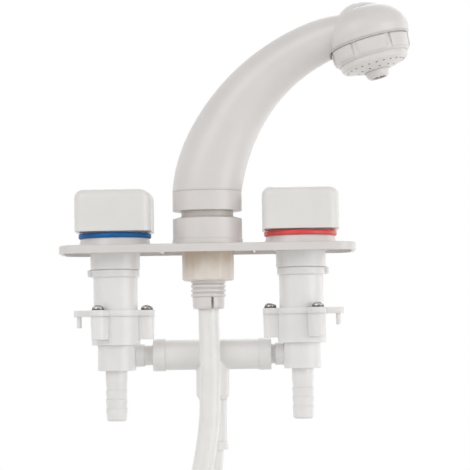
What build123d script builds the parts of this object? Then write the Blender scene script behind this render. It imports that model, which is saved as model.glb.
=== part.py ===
from build123d import *
import os
from math import atan2, cos, degrees, pi, radians, sin, sqrt, tan

# Deck-mounted shower mixer with a pull-out handset, in millimetres
# Origin: the centre pedestal's axis on the deck, +Z up, +X from the cold tap to the hot tap
# The user's side is -Y

# Clearances between pieces
RUN_GAP = 0.1
FLAT_GAP = 0.2
MOVE_GAP = 0.3
SEAT_GAP = 0.05
CUT_PAST = 1.0

# Deck plate
PLATE_LENGTH = 176.0
PLATE_DEPTH = 54.0
PLATE_HEIGHT = 4.9
PLATE_CORNER = 14.0
PLATE_EDGE = 1.2
PLATE_WALL = 2.0
PLATE_TOP_WALL = 2.4
PLATE_RIB = 1.6
UNDER_Z = 1.0
VALVE_INSET = 32.4
VALVE_X = PLATE_LENGTH / 2 - VALVE_INSET
BOSS_TOP_R = 20.5
BOSS_FOOT_R = 21.6
BOSS_TOP_Z = 9.3
UNDER_RING_WALL = 2.5

# Knobs
KNOB_SIDE = 45.5
KNOB_FOOT_Z = 13.1
KNOB_TOP_Z = 37.9
KNOB_CORNER = 6.5
KNOB_TOP_EDGE = 5.0
KNOB_WALL = 2.4
KNOB_NECK_R = 18.3
KNOB_HUB_R = 7.5
KNOB_RIB = 1.8
DRIVE_SIDE = 6.0

# Index rings
INDEX_R = 21.8
INDEX_HEIGHT = 3.0
INDEX_BORE_R = 14.2
INDEX_ROUND = 0.9

# Valve bodies
TUBE_R = 13.2
TUBE_BORE_R = 10.5
TUBE_FLANGE_R = 17.0
TUBE_FLANGE_HEIGHT = 2.5
NUT_R = 14.85
NUT_BOTTOM_Z = -9.2
NUT_ROUND = 0.5
LOCK_BOTTOM_Z = -14.0
LOCK_R = 14.4
LOCK_NUB_REACH = 2.2
LOCK_NUB_WIDTH = 5.0
LOCK_ROUND = 1.1
CLAMP_TOP_Z = -33.4
CLAMP_FLANGE = 3.8
CLAMP_R = 15.0
CUP_R = 14.5
CUP_BOTTOM_Z = -54.3
CUP_WALL = 2.2
EAR_R = 4.6
SCREW_BOSS_R = 4.0
SCREW_CIRCLE_R = 18.7
SCREW_BOSS_BOTTOM_Z = -50.8
SCREW_BOSS_ROUND = 2.4
SCREW_COUNT = 3
SCREW_R = 1.9
SCREW_HEAD_R = 3.65
SCREW_HEAD_HEIGHT = 3.1
SCREW_HEAD_ROUND = 2.3
SCREW_LENGTH = 14.0
HOOK_REACH = 25.2
HOOK_WIDTH = 6.5
HOOK_PEG_R = 1.5
HOOK_PEG_BOTTOM_Z = -43.8
LOWER_R = 11.0
LOWER_BOTTOM_Z = -69.5
LOWER_WALL = 2.2
WATER_WINDOW = (5.0, 4.0)
TAIL_R = 6.5
TAIL_LENGTH = 30.0
TAIL_LAND = 6.0
TAIL_BORE_R = 4.3
TAIL_BARBS = 4
TAIL_BARB_RISE = 0.45
TAIL_END_PLAIN = 2.0
TAIL_END_CHAMFER = (1.3, 1.2)
RISER_WALL = 1.6

# Ceramic cartridges
HOUSING_CLEAR = 0.1
DISC_R = 7.8
DISC_HEIGHT = 2.5
DISC_BOTTOM_Z = -35.5
DISC_PORT_R = 2.1
DISC_PORT_OFFSET = 4.2
DISC_CHANNEL = 12.8
TONGUE_FLOOR = 0.4
SPINDLE_R = 4.0
SPINDLE_FOOT_HEIGHT = 3.0
HOUSING_TOP_Z = 6.0
ORING_WIRE_R = 0.9
SEAL_WALL = 2.0
HOUSING_LUG = (2.4, 3.4)
SPINDLE_TONGUE = 2.0
SPINDLE_SEAL_WIRE_R = 0.75

# Tee between the two valves
TEE_Y = 14.0
TEE_Z = -60.7
TEE_SHIFT = 1.5
TEE_INSET = 20.0
TEE_HALF = VALVE_X - TEE_INSET
TEE_R = 9.1
TEE_BAND_R = 9.7
TEE_BAND = 7.3
TEE_BORE_R = 6.0
TEE_SOCKET = 12.0
SPIGOT_SHORT = 2.0
SPIGOT_GROOVE = 3.5
TEE_WATER_R = 4.4
PORT_BOSS_R = 6.85
PORT_BOSS_REACH = 16.1
PORT_BORE_R = 3.8
OUTLET_R = 10.0
OUTLET_BOTTOM_Z = -85.0
OUTLET_CHAMFER = 3.0
OUTLET_END_R = 8.35
FERRULE_R = 8.2
FERRULE_BOTTOM_Z = -117.8
FERRULE_LIP_R = 8.8
FERRULE_LIP = 4.8
FERRULE_LIP_ROUND = 0.54
HOSE_PLUG_DEPTH = 5.8
STEM_R = 4.4
STEM_BORE_R = 3.0
STEM_LENGTH = 20.0

# Pedestal, its threaded shank and its nut
PEDESTAL_R = 20.75
PEDESTAL_TOP_Z = 21.7
PEDESTAL_RIM_DROP = 1.3
PEDESTAL_TOP_FLAT_R = 15.9
PEDESTAL_FLOOR_Z = 6.5
TRIM_TOP_Z = 8.3
TRIM_R = 21.1
TRIM_WALL = 3.6
TRIM_CHAMFER = 0.315
SHANK_R = 10.4
SHANK_ROOT_R = 9.3
SHANK_PITCH = 2.7
SHANK_THREAD_BOTTOM_Z = -26.6
SHANK_BOTTOM_Z = -33.4
SHANK_END_R = 9.5
SHANK_END_CHAMFER = (0.6, 1.5)
THREAD_ROOT_SHARE = 0.1
THREAD_CREST_SHARE = 0.7
SHANK_BORE_R = 7.0
SHANK_SLOT = 1.5
SHANK_SLOT_TURN = 16.0
DECK_NUT_R = 15.6
DECK_NUT_BOTTOM_Z = -16.6
DECK_NUT_CHAMFER = 1.2
DECK_NUT_BLUNT = 0.15
DECK_NUT_FLAT_COUNT = 12

# Swivel liner in the pedestal and the handset's plug in the liner
LINER_FLANGE_R = 15.6
LINER_SKIRT_R = 13.5
LINER_FOOT_Z = 7.0
PLUG_R = 10.8
PLUG_FOOT_Z = 8.0
COLLAR_FOOT_Z = 25.0
COLLAR_TOP_Z = 36.5
COLLAR_R = 20.75
COLLAR_WALL = 2.4
COLLAR_CHAMBER_R = 12.5
COLLAR_LIP = 2.5
COLLAR_LIP_GAP = 0.3
COLLAR_ROUND = 0.5

# Handset
HANDSET_SWING = 9.0
SHELL_WALL = 2.2
HEAD_REACH = 99.0
HEAD_Z = 123.1
HEAD_TILT = 15.0
HEAD_R = 25.6
HEAD_SEAM_R = 24.6
HEAD_HEIGHT = 19.7
HEAD_CROWN_R = 14.4
HEAD_RIM_SHARE = 0.22
HEAD_SHOULDER_SHARES = (0.87, 0.74)
ROOT_INSET = 6.0
ROOT_DEPTH = 10.2
ROOT_HEIGHT = 19.0
ROOT_WIDTH = 41.0

# The arm's sections: reach, height over the collar, lean, thickness and width
ARM_SECTIONS = (
    (0.0, 0.0, 0.0, 41.5, 41.5),
    (4.8, 20.7, 19.0, 40.4, 40.2),
    (14.6, 41.2, 30.5, 36.9, 37.0),
    (28.5, 59.8, 41.7, 32.9, 34.0),
    (45.9, 75.2, 53.8, 29.1, 32.6),
    (64.1, 85.8, 65.0, 26.3, 34.0),
)

# Waterway from the hose to the head
CONNECTOR_R = 10.0
CONNECTOR_FOOT_Z = 27.5
CONNECTOR_HEIGHT = 10.0
CONNECTOR_SOCKET = 6.0
CONNECTOR_BORE_R = 3.2
WASHER_HEIGHT = 1.6
WASHER_INSET = 1.0
WATER_R = 4.0
WATER_BORE_R = 2.8
WATER_FLANGE_R = 9.0
WATER_FLANGE = 2.0
WATER_BEND_R = 36.0
WATER_RISE = 6.0

# Head, along the spray axis from the housing's seam
CHAMBER_TOP = -12.0
CHAMBER_FLOOR = 3.2
CHAMBER_WALL = 2.0
CHAMBER_INLET = -7.5
CHAMBER_PORT_R = 2.4
CHAMBER_PORT_OFFSET = 9.0
PORT_COUNT = 3
CHAMBER_RIM_TOP = -3.2
FACE_SEAL_WIRE_R = 0.75
FACE_SEAL_Z = 1.7
BOWL_R = 20.4
BOWL_WALL = 1.6
CHAMBER_INSET = 0.6
CHAMBER_R = BOWL_R - BOWL_WALL - CHAMBER_INSET
RING_TOP = 0.3
RING_BOTTOM = 10.4
RING_BORE_R = BOWL_R + RUN_GAP
RING_WALL = 2.0
RING_R = RING_BORE_R + RING_WALL
RING_CHAMFER = ((0.6, 0.8), (1.5, 2.2))
PAD_PROUD = 1.2
PAD_R = RING_R + PAD_PROUD
PAD_TOP = 0.8
PAD_BOTTOM = 9.0
PAD_COUNT = 7
PAD_SPAN = 42.0
PAD_FIRST = 82.7
PAD_ROOT = 1.4
PAD_TOP_CHAMFER = (0.6, 0.8)
PAD_FOOT_CHAMFER = ((0.4, 1.6), (1.1, 0.0))
BOWL_TOP = 0.6
BOWL_SHOULDER = 12.1
BOWL_SHOULDER_INSET = 1.5
BOWL_SHOULDER_R = BOWL_R - BOWL_SHOULDER_INSET
BOWL_SHOULDER_DROP = 2.6
BOWL_SHOULDER_ROUND = (0.6, 0.6)
BOWL_BOTTOM = 17.6
BOWL_FLAT_R = 8.6
HOLE_R = 0.65
OUTER_HOLES = 24
OUTER_HOLE_INSET = 3.2
OUTER_HOLE_CIRCLE_R = BOWL_R - OUTER_HOLE_INSET
INNER_HOLES = 12
INNER_HOLE_INSET = 9.2
INNER_HOLE_CIRCLE_R = BOWL_R - INNER_HOLE_INSET
DIVERTER_HEIGHT = 2.0
DIVERTER_GROOVE = 1.0
NOZZLE_TOP_R = 7.4
NOZZLE_END_R = 6.6
NOZZLE_END = 22.0
NOZZLE_END_CHAMFER = (1.0, 1.2)
NOZZLE_RECESS_R = 4.6
NOZZLE_RECESS = 2.4
NOZZLE_BAR = 1.3
NOZZLE_BAR_ROOT = 0.5
NOZZLE_BAR_SINK = 0.8
NOZZLE_STEM_R = 4.0
NOZZLE_STEM_BORE_R = 2.6
NOZZLE_STEM_SEAT = 2.0
NOZZLE_SLOT = 1.6

# Stop button on top of the head
BUTTON_R = 12.7
BUTTON_CROWN = 5.0
BUTTON_EDGE = 0.8
BUTTON_MIDDLE_SHARES = (0.62, 0.76)
BUTTON_WALL = 1.6
BUTTON_LIP = 1.2
BUTTON_LIP_DROP = 3.0
BUTTON_LIP_HEIGHT = 1.4
BUTTON_STEM_R = 2.2
BUTTON_STEM_BELOW = 1.5
BUTTON_HOLE_SEAM = 37.0
SPRING_R = 4.6
SPRING_WIRE_R = 0.45
SPRING_TURNS = 3

# Hose
HOSE_R = 6.2
HOSE_BORE_R = 4.5
HOSE_JOINT_Z = -30.0
HOSE_BEND_SHARE = 0.45
COIL_R = 62.0
COIL_X = -91.0
COIL_Z = -255.0
COIL_FRONT_Y = -14.0
COIL_PITCH = 13.4
COIL_QUARTERS = 11
COIL_LEAD = 12.4
TIE_WIDTH = 14.0
TIE_THICKNESS = 1.6
TIE_CORNER = 6.0

# Route of the hose from the shank to the coil: across, to the rear and up
DROP_POINTS = (
    (0.0, 0.0, HOSE_JOINT_Z),
    (0.0, 0.0, -42.0),
    (0.3, -2.5, -56.0),
    (0.5, -4.7, -70.0),
    (0.4, -5.6, -86.0),
    (-0.5, -6.5, -103.0),
    (-3.2, -7.8, -121.5),
    (-7.9, -9.4, -142.0),
    (-13.7, -11.2, -165.0),
    (-20.0, -12.8, -189.0),
    (-25.9, -13.8, -211.0),
    (-29.0, -14.0, -230.0),
)

# Route of the hose from the coil up into the ferrule under the tee
RETURN_POINTS = (
    (-68.2, 22.85, -193.0),
    (-47.0, 22.5, -189.5),
    (-27.7, 20.7, -180.0),
    (-12.4, 18.0, -165.2),
    (-2.4, 15.4, -146.4),
    (1.5, 14.0, -125.6),
)

parts = {}


def disc(radius, bottom, top, x=0.0, y=0.0):
    # An upright cylinder between two heights
    return Pos(x, y, (bottom + top) / 2) * Cylinder(radius, top - bottom)


def ring(outer, inner, bottom, top, x=0.0, y=0.0):
    # An upright ring between two heights
    return disc(outer, bottom, top, x, y) - disc(inner, bottom - CUT_PAST, top + CUT_PAST, x, y)


def slab(x0, x1, y0, y1, z0, z1):
    # A block between two corners
    return Pos((x0 + x1) / 2, (y0 + y1) / 2, (z0 + z1) / 2) * Box(x1 - x0, y1 - y0, z1 - z0)


def prism(face_sketch, bottom, top):
    # A plan outline raised between two heights
    return extrude(Pos(0, 0, bottom) * face_sketch, top - bottom)


def turned(points):
    # A solid turned about Z from (radius, height) points
    outline = [Vector(radius, 0, height) for radius, height in points]
    return revolve(make_face(Polyline(*outline, close=True)), Axis.Z)


def around(count, radius, piece, first=0.0):
    # Copies of a piece at even steps on a circle
    return [
        Rot(0, 0, first + 360.0 * step / count) * Pos(radius, 0, 0) * piece
        for step in range(count)
    ]


def solids_of(shape):
    return list(shape.solids())


def one(shape):
    # The single solid of a shape that has one piece
    found = solids_of(shape)
    if len(found) != 1:
        print("note: expected one solid and found", len(found))
    return max(found, key=lambda solid: solid.volume)


def o_ring(radius, wire, height, x=0.0, y=0.0):
    return Pos(x, y, height) * Torus(radius, wire)


# Deck plate

def plate_outline(inset=0.0):
    return RectangleRounded(
        PLATE_LENGTH - 2 * inset, PLATE_DEPTH - 2 * inset, PLATE_CORNER - inset
    )


def under_ring_radius(bore):
    return bore + UNDER_RING_WALL


def deck_plate():
    # Ribs and seats under the plate stand back from the deck, which only its rim touches
    body = prism(plate_outline(), 0, PLATE_HEIGHT)
    body = fillet(body.faces().sort_by(Axis.Z)[-1].edges(), PLATE_EDGE)
    body -= prism(plate_outline(PLATE_WALL), -1, PLATE_HEIGHT - PLATE_TOP_WALL)
    valve_bore = TUBE_R + MOVE_GAP
    shank_bore = SHANK_R + MOVE_GAP
    for side in (-1, 1):
        x = side * VALVE_X
        body += Pos(x, 0, (PLATE_HEIGHT + BOSS_TOP_Z) / 2) * Cone(
            BOSS_FOOT_R, BOSS_TOP_R, BOSS_TOP_Z - PLATE_HEIGHT
        )
        body += disc(under_ring_radius(valve_bore), UNDER_Z, PLATE_HEIGHT, x)
    body += disc(under_ring_radius(shank_bore), UNDER_Z, PLATE_HEIGHT)
    rib_top = PLATE_HEIGHT - PLATE_TOP_WALL / 2
    rib_x = VALVE_X / 2
    rib_half = PLATE_DEPTH / 2 - PLATE_WALL / 2
    for x in (-rib_x, rib_x):
        body += slab(x - PLATE_RIB / 2, x + PLATE_RIB / 2, -rib_half, rib_half, UNDER_Z, rib_top)
    reach = PLATE_LENGTH / 2 - PLATE_WALL / 2
    body += slab(-reach, reach, -PLATE_RIB / 2, PLATE_RIB / 2, UNDER_Z, rib_top)
    for side in (-1, 1):
        x = side * VALVE_X
        body -= disc(valve_bore, -CUT_PAST, BOSS_TOP_Z + CUT_PAST, x)
        body -= disc(TUBE_FLANGE_R + SEAT_GAP, BOSS_TOP_Z - TUBE_FLANGE_HEIGHT, BOSS_TOP_Z + CUT_PAST, x)
    body -= disc(shank_bore, -CUT_PAST, PLATE_HEIGHT + CUT_PAST)
    return one(body)


# Pedestal

def pedestal():
    rim_z = PEDESTAL_TOP_Z - PEDESTAL_RIM_DROP
    hub_r = TRIM_R - TRIM_WALL
    root_step = (SHANK_R - SHANK_ROOT_R) * THREAD_ROOT_SHARE
    crest_step = (SHANK_R - SHANK_ROOT_R) * THREAD_CREST_SHARE
    outline = [
        (SHANK_BORE_R, SHANK_BOTTOM_Z),
        (SHANK_END_R - SHANK_END_CHAMFER[0], SHANK_BOTTOM_Z),
        (SHANK_END_R, SHANK_BOTTOM_Z + SHANK_END_CHAMFER[1]),
        (SHANK_END_R, SHANK_THREAD_BOTTOM_Z),
    ]
    count = int((DECK_NUT_BOTTOM_Z - SHANK_THREAD_BOTTOM_Z) / SHANK_PITCH)
    z = SHANK_THREAD_BOTTOM_Z
    for _ in range(count):
        outline += [
            (SHANK_ROOT_R, z + root_step),
            (SHANK_R, z + crest_step),
            (SHANK_R, z + SHANK_PITCH - crest_step),
            (SHANK_ROOT_R, z + SHANK_PITCH - root_step),
        ]
        z += SHANK_PITCH
    outline += [
        (SHANK_R, z + crest_step),
        (SHANK_R, PLATE_HEIGHT),
        (hub_r, PLATE_HEIGHT),
        (hub_r, TRIM_TOP_Z),
        (PEDESTAL_R, TRIM_TOP_Z),
        (PEDESTAL_R, rim_z),
        (PEDESTAL_TOP_FLAT_R, PEDESTAL_TOP_Z),
        (LINER_SKIRT_R + RUN_GAP, PEDESTAL_TOP_Z),
        (LINER_SKIRT_R + RUN_GAP, PEDESTAL_FLOOR_Z),
        (SHANK_BORE_R, PEDESTAL_FLOOR_Z),
    ]
    body = turned(outline)
    slot_half = SHANK_SLOT / 2
    slot_top = SHANK_THREAD_BOTTOM_Z
    slot = slab(-slot_half, slot_half, -2 * SHANK_R, 2 * SHANK_R, SHANK_BOTTOM_Z - CUT_PAST, slot_top)
    body -= Rot(0, 0, SHANK_SLOT_TURN) * slot
    return one(body)


def pedestal_trim():
    body = ring(TRIM_R, TRIM_R - TRIM_WALL, PLATE_HEIGHT, TRIM_TOP_Z)
    outer_top = body.edges().filter_by(GeomType.CIRCLE).sort_by(Axis.Z)[-2:]
    wide = max(outer_top, key=lambda edge: edge.radius)
    return one(chamfer(wide, TRIM_CHAMFER))


def deck_nut():
    flats = RegularPolygon(DECK_NUT_R, DECK_NUT_FLAT_COUNT, major_radius=True)
    height = UNDER_Z - DECK_NUT_BOTTOM_Z
    body = prism(flats, DECK_NUT_BOTTOM_Z, UNDER_Z)
    body &= disc(DECK_NUT_R - DECK_NUT_BLUNT, DECK_NUT_BOTTOM_Z, UNDER_Z)
    cone_r = DECK_NUT_R + height - DECK_NUT_CHAMFER
    bevel = Pos(0, 0, (DECK_NUT_BOTTOM_Z + UNDER_Z) / 2) * Cone(cone_r - height, cone_r, height)
    body &= bevel
    return one(body - disc(SHANK_R, DECK_NUT_BOTTOM_Z - CUT_PAST, UNDER_Z + CUT_PAST))


def swivel_liner():
    body = turned([
        (PLUG_R + RUN_GAP, LINER_FOOT_Z),
        (LINER_SKIRT_R, LINER_FOOT_Z),
        (LINER_SKIRT_R, PEDESTAL_TOP_Z),
        (LINER_FLANGE_R, PEDESTAL_TOP_Z),
        (LINER_FLANGE_R, COLLAR_FOOT_Z),
        (PLUG_R + RUN_GAP, COLLAR_FOOT_Z),
    ])
    return one(body)


# Valves, modelled at the cold side with +X towards the tee

def screw_angles():
    return [360.0 * step / SCREW_COUNT for step in range(SCREW_COUNT)]


def valve_body():
    flange_bottom = CLAMP_TOP_Z - CLAMP_FLANGE
    body = disc(TUBE_R, flange_bottom, BOSS_TOP_Z)
    body += disc(TUBE_FLANGE_R, BOSS_TOP_Z - TUBE_FLANGE_HEIGHT, BOSS_TOP_Z)
    body += disc(CLAMP_R, flange_bottom, CLAMP_TOP_Z)
    for angle in screw_angles():
        body += Rot(0, 0, angle) * disc(EAR_R, flange_bottom, CLAMP_TOP_Z, SCREW_CIRCLE_R)
        body += Rot(0, 0, angle) * slab(
            0, SCREW_CIRCLE_R, -EAR_R, EAR_R, flange_bottom, CLAMP_TOP_Z
        )
    arm_half = HOOK_WIDTH / 2
    arm_centre = -(HOOK_REACH - arm_half)
    body += slab(arm_centre, -TUBE_BORE_R, -arm_half, arm_half, flange_bottom, CLAMP_TOP_Z)
    body += disc(arm_half, flange_bottom, CLAMP_TOP_Z, arm_centre)
    body += disc(HOOK_PEG_R, HOOK_PEG_BOTTOM_Z, CLAMP_TOP_Z, arm_centre)
    body -= disc(TUBE_BORE_R, flange_bottom - CUT_PAST, BOSS_TOP_Z + CUT_PAST)
    for angle in screw_angles():
        hole = disc(SCREW_R, flange_bottom - CUT_PAST, CLAMP_TOP_Z + CUT_PAST, SCREW_CIRCLE_R)
        body -= Rot(0, 0, angle) * hole
    return one(body)


def retaining_nut():
    body = disc(NUT_R, NUT_BOTTOM_Z, UNDER_Z)
    body = fillet(body.edges().sort_by(Axis.Z)[0], NUT_ROUND)
    return one(body - disc(TUBE_R, NUT_BOTTOM_Z - CUT_PAST, UNDER_Z + CUT_PAST))


def lock_ring():
    # A round-edged ring with a rounded nub that keys it
    body = disc(LOCK_R, LOCK_BOTTOM_Z, NUT_BOTTOM_Z)
    body = fillet(body.edges().filter_by(GeomType.CIRCLE), LOCK_ROUND)
    nub = slab(
        -LOCK_R - LOCK_NUB_REACH, 0, -LOCK_NUB_WIDTH / 2, LOCK_NUB_WIDTH / 2,
        LOCK_BOTTOM_Z + LOCK_ROUND / 2, NUT_BOTTOM_Z,
    )
    nub = fillet(nub.edges().group_by(Axis.X)[0], LOCK_ROUND)
    return one(body + nub - disc(TUBE_R, LOCK_BOTTOM_Z - CUT_PAST, NUT_BOTTOM_Z + CUT_PAST))


def lower_outline(inset=0.0):
    # The lower body's plan: round in front, and lobed to the rear where the port is
    width = 2 * (LOWER_R - inset)
    return Pos(0, TEE_Y / 2, 0) * Rot(0, 0, 90) * SlotCenterToCenter(TEE_Y, width)


def tee_end_gap(side):
    # The distance from a valve's axis to the tee's near end
    return VALVE_X - side * TEE_SHIFT - TEE_HALF


def spigot_reach(side):
    return tee_end_gap(side) + TEE_SOCKET - SPIGOT_SHORT


def inlet_body(side):
    cup_top = CLAMP_TOP_Z - CLAMP_FLANGE
    body = disc(CUP_R, CUP_BOTTOM_Z, cup_top)
    for angle in screw_angles():
        boss = disc(SCREW_BOSS_R, SCREW_BOSS_BOTTOM_Z, cup_top, SCREW_CIRCLE_R)
        boss = fillet(boss.edges().sort_by(Axis.Z)[0], SCREW_BOSS_ROUND)
        web = slab(
            0, SCREW_CIRCLE_R, -SCREW_BOSS_ROUND, SCREW_BOSS_ROUND,
            SCREW_BOSS_BOTTOM_Z + SCREW_BOSS_ROUND, cup_top,
        )
        body += Rot(0, 0, angle) * (boss + web)
    body += prism(lower_outline(), LOWER_BOTTOM_Z, CUP_BOTTOM_Z)
    body += inlet_tail()
    reach = spigot_reach(side)
    port = Pos(PORT_BOSS_REACH / 2, TEE_Y, TEE_Z) * Rot(0, 90, 0) * Cylinder(
        PORT_BOSS_R, PORT_BOSS_REACH
    )
    spigot = Pos(reach / 2, TEE_Y, TEE_Z) * Rot(0, 90, 0) * Cylinder(TEE_BORE_R - SEAT_GAP, reach)
    groove_x = reach - SPIGOT_GROOVE
    groove = Pos(groove_x, TEE_Y, TEE_Z) * Rot(0, 90, 0) * (
        Cylinder(TEE_BORE_R + CUT_PAST, 2 * ORING_WIRE_R) - Cylinder(TEE_BORE_R - 2 * ORING_WIRE_R, 4)
    )
    body += port
    body += spigot - groove
    chamber_floor = LOWER_BOTTOM_Z + LOWER_WALL
    chamber = disc(CUP_R - CUP_WALL, CUP_BOTTOM_Z + CUP_WALL, cup_top - CUP_WALL)
    chamber += prism(lower_outline(LOWER_WALL), chamber_floor, CUP_BOTTOM_Z)
    chamber += disc(LOWER_R - LOWER_WALL, chamber_floor, CUP_BOTTOM_Z + CUP_WALL + CUT_PAST)
    width, depth = WATER_WINDOW
    window = slab(-width / 2, width / 2, DISC_R + CUT_PAST - depth, DISC_R + CUT_PAST,
                  cup_top - CUP_WALL - CUT_PAST, cup_top + CUT_PAST)
    chamber += window
    riser = disc(TAIL_BORE_R + RISER_WALL, chamber_floor - CUT_PAST, cup_top - CUP_WALL + CUT_PAST)
    body -= chamber - riser
    bore_reach = reach + CUT_PAST
    body -= Pos(bore_reach / 2, TEE_Y, TEE_Z) * Rot(0, 90, 0) * Cylinder(PORT_BORE_R, bore_reach)
    body -= disc(TAIL_BORE_R, LOWER_BOTTOM_Z - TAIL_LENGTH - CUT_PAST, cup_top + CUT_PAST)
    for angle in screw_angles():
        hole = disc(SCREW_R, CLAMP_TOP_Z - SCREW_LENGTH, cup_top + CUT_PAST, SCREW_CIRCLE_R)
        body -= Rot(0, 0, angle) * hole
    return one(body)


def inlet_tail():
    # A half-inch hose tail: a plain land, shallow barbs and a rounded end
    bottom = LOWER_BOTTOM_Z - TAIL_LENGTH
    outline = [(0, LOWER_BOTTOM_Z + CUT_PAST), (TAIL_R, LOWER_BOTTOM_Z + CUT_PAST)]
    pitch = (TAIL_LENGTH - TAIL_LAND - TAIL_END_PLAIN) / TAIL_BARBS
    z = LOWER_BOTTOM_Z - TAIL_LAND
    for _ in range(TAIL_BARBS):
        outline += [(TAIL_R, z), (TAIL_R - TAIL_BARB_RISE, z - pitch)]
        z -= pitch
    outline += [
        (TAIL_R - TAIL_BARB_RISE, bottom + TAIL_END_CHAMFER[1]),
        (TAIL_R - TAIL_END_CHAMFER[0], bottom),
        (0, bottom),
    ]
    return turned(outline)


def body_screw():
    head_bottom = CLAMP_TOP_Z
    head = disc(SCREW_HEAD_R, head_bottom, head_bottom + SCREW_HEAD_HEIGHT)
    head = fillet(head.edges().sort_by(Axis.Z)[-1], SCREW_HEAD_ROUND)
    return head + disc(SCREW_R, CLAMP_TOP_Z - SCREW_LENGTH, head_bottom)


def cartridge_housing():
    outer = TUBE_BORE_R - HOUSING_CLEAR
    chamber_top = DISC_BOTTOM_Z + 2 * DISC_HEIGHT + SPINDLE_FOOT_HEIGHT
    body = disc(outer, DISC_BOTTOM_Z, HOUSING_TOP_Z)
    body -= disc(DISC_R + FLAT_GAP, DISC_BOTTOM_Z - CUT_PAST, chamber_top)
    body -= disc(SPINDLE_R + RUN_GAP, chamber_top - CUT_PAST, HOUSING_TOP_Z + CUT_PAST)
    groove_z = (chamber_top + HOUSING_TOP_Z) / 2
    body -= disc(SPINDLE_R + 2 * ORING_WIRE_R, groove_z - ORING_WIRE_R - RUN_GAP,
                 groove_z + ORING_WIRE_R + RUN_GAP)
    for side in (-1, 1):
        lug_y = side * (outer - HOUSING_LUG[0] / 2)
        body -= Pos(0, lug_y, DISC_BOTTOM_Z + DISC_HEIGHT / 2) * Box(*HOUSING_LUG, DISC_HEIGHT + RUN_GAP)
    return one(body)


def disc_ports():
    return around(2, DISC_PORT_OFFSET, disc(DISC_PORT_R, DISC_BOTTOM_Z - CUT_PAST,
                                            DISC_BOTTOM_Z + DISC_HEIGHT + CUT_PAST), 90)


def fixed_disc():
    body = disc(DISC_R, DISC_BOTTOM_Z, DISC_BOTTOM_Z + DISC_HEIGHT)
    return one(body - disc_ports())


def moving_disc():
    bottom = DISC_BOTTOM_Z + DISC_HEIGHT
    body = disc(DISC_R, bottom, bottom + DISC_HEIGHT)
    channel = prism(SlotOverall(DISC_CHANNEL, 2 * DISC_PORT_R), bottom - CUT_PAST,
                    bottom + DISC_HEIGHT / 2)
    tongue = slab(-DRIVE_SIDE / 2, DRIVE_SIDE / 2, -SPINDLE_TONGUE / 2, SPINDLE_TONGUE / 2,
                  bottom + DISC_HEIGHT / 2 + TONGUE_FLOOR, bottom + DISC_HEIGHT + CUT_PAST)
    return one(body - channel - tongue)


def spindle():
    foot_bottom = DISC_BOTTOM_Z + 2 * DISC_HEIGHT
    foot_top = foot_bottom + SPINDLE_FOOT_HEIGHT - FLAT_GAP
    square_bottom = KNOB_FOOT_Z
    square_top = KNOB_TOP_Z - 3 * KNOB_WALL
    body = disc(DISC_R - FLAT_GAP, foot_bottom, foot_top)
    body += disc(SPINDLE_R, foot_bottom, square_bottom)
    body += slab(-DRIVE_SIDE / 2, DRIVE_SIDE / 2, -DRIVE_SIDE / 2, DRIVE_SIDE / 2,
                 square_bottom, square_top) & disc(SPINDLE_R, square_bottom, square_top)
    body += slab(-DRIVE_SIDE / 2, DRIVE_SIDE / 2, -SPINDLE_TONGUE / 2, SPINDLE_TONGUE / 2,
                 foot_bottom - DISC_HEIGHT / 2 + TONGUE_FLOOR, foot_bottom + RUN_GAP)
    return one(body)


def spindle_seal():
    chamber_top = DISC_BOTTOM_Z + 2 * DISC_HEIGHT + SPINDLE_FOOT_HEIGHT
    return o_ring(SPINDLE_R + ORING_WIRE_R, SPINDLE_SEAL_WIRE_R, (chamber_top + HOUSING_TOP_Z) / 2)


def disc_seal():
    seat_top = DISC_BOTTOM_Z
    seat_bottom = CLAMP_TOP_Z - CLAMP_FLANGE
    body = disc(DISC_R + SEAL_WALL, seat_bottom, seat_top)
    port = disc(DISC_PORT_R, seat_bottom - CUT_PAST, seat_top + CUT_PAST)
    return one(body - around(2, DISC_PORT_OFFSET, port, 90))


def port_seal(side):
    wire = ORING_WIRE_R - RUN_GAP
    seal = Torus(TEE_BORE_R - ORING_WIRE_R - SEAT_GAP, wire)
    return Pos(spigot_reach(side) - SPIGOT_GROOVE, TEE_Y, TEE_Z) * Rot(0, 90, 0) * seal


def index_ring():
    body = ring(INDEX_R, INDEX_BORE_R, BOSS_TOP_Z, BOSS_TOP_Z + INDEX_HEIGHT)
    edges = [e for e in body.edges().filter_by(GeomType.CIRCLE) if e.radius > INDEX_BORE_R + CUT_PAST]
    return one(fillet(edges, INDEX_ROUND))


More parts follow.
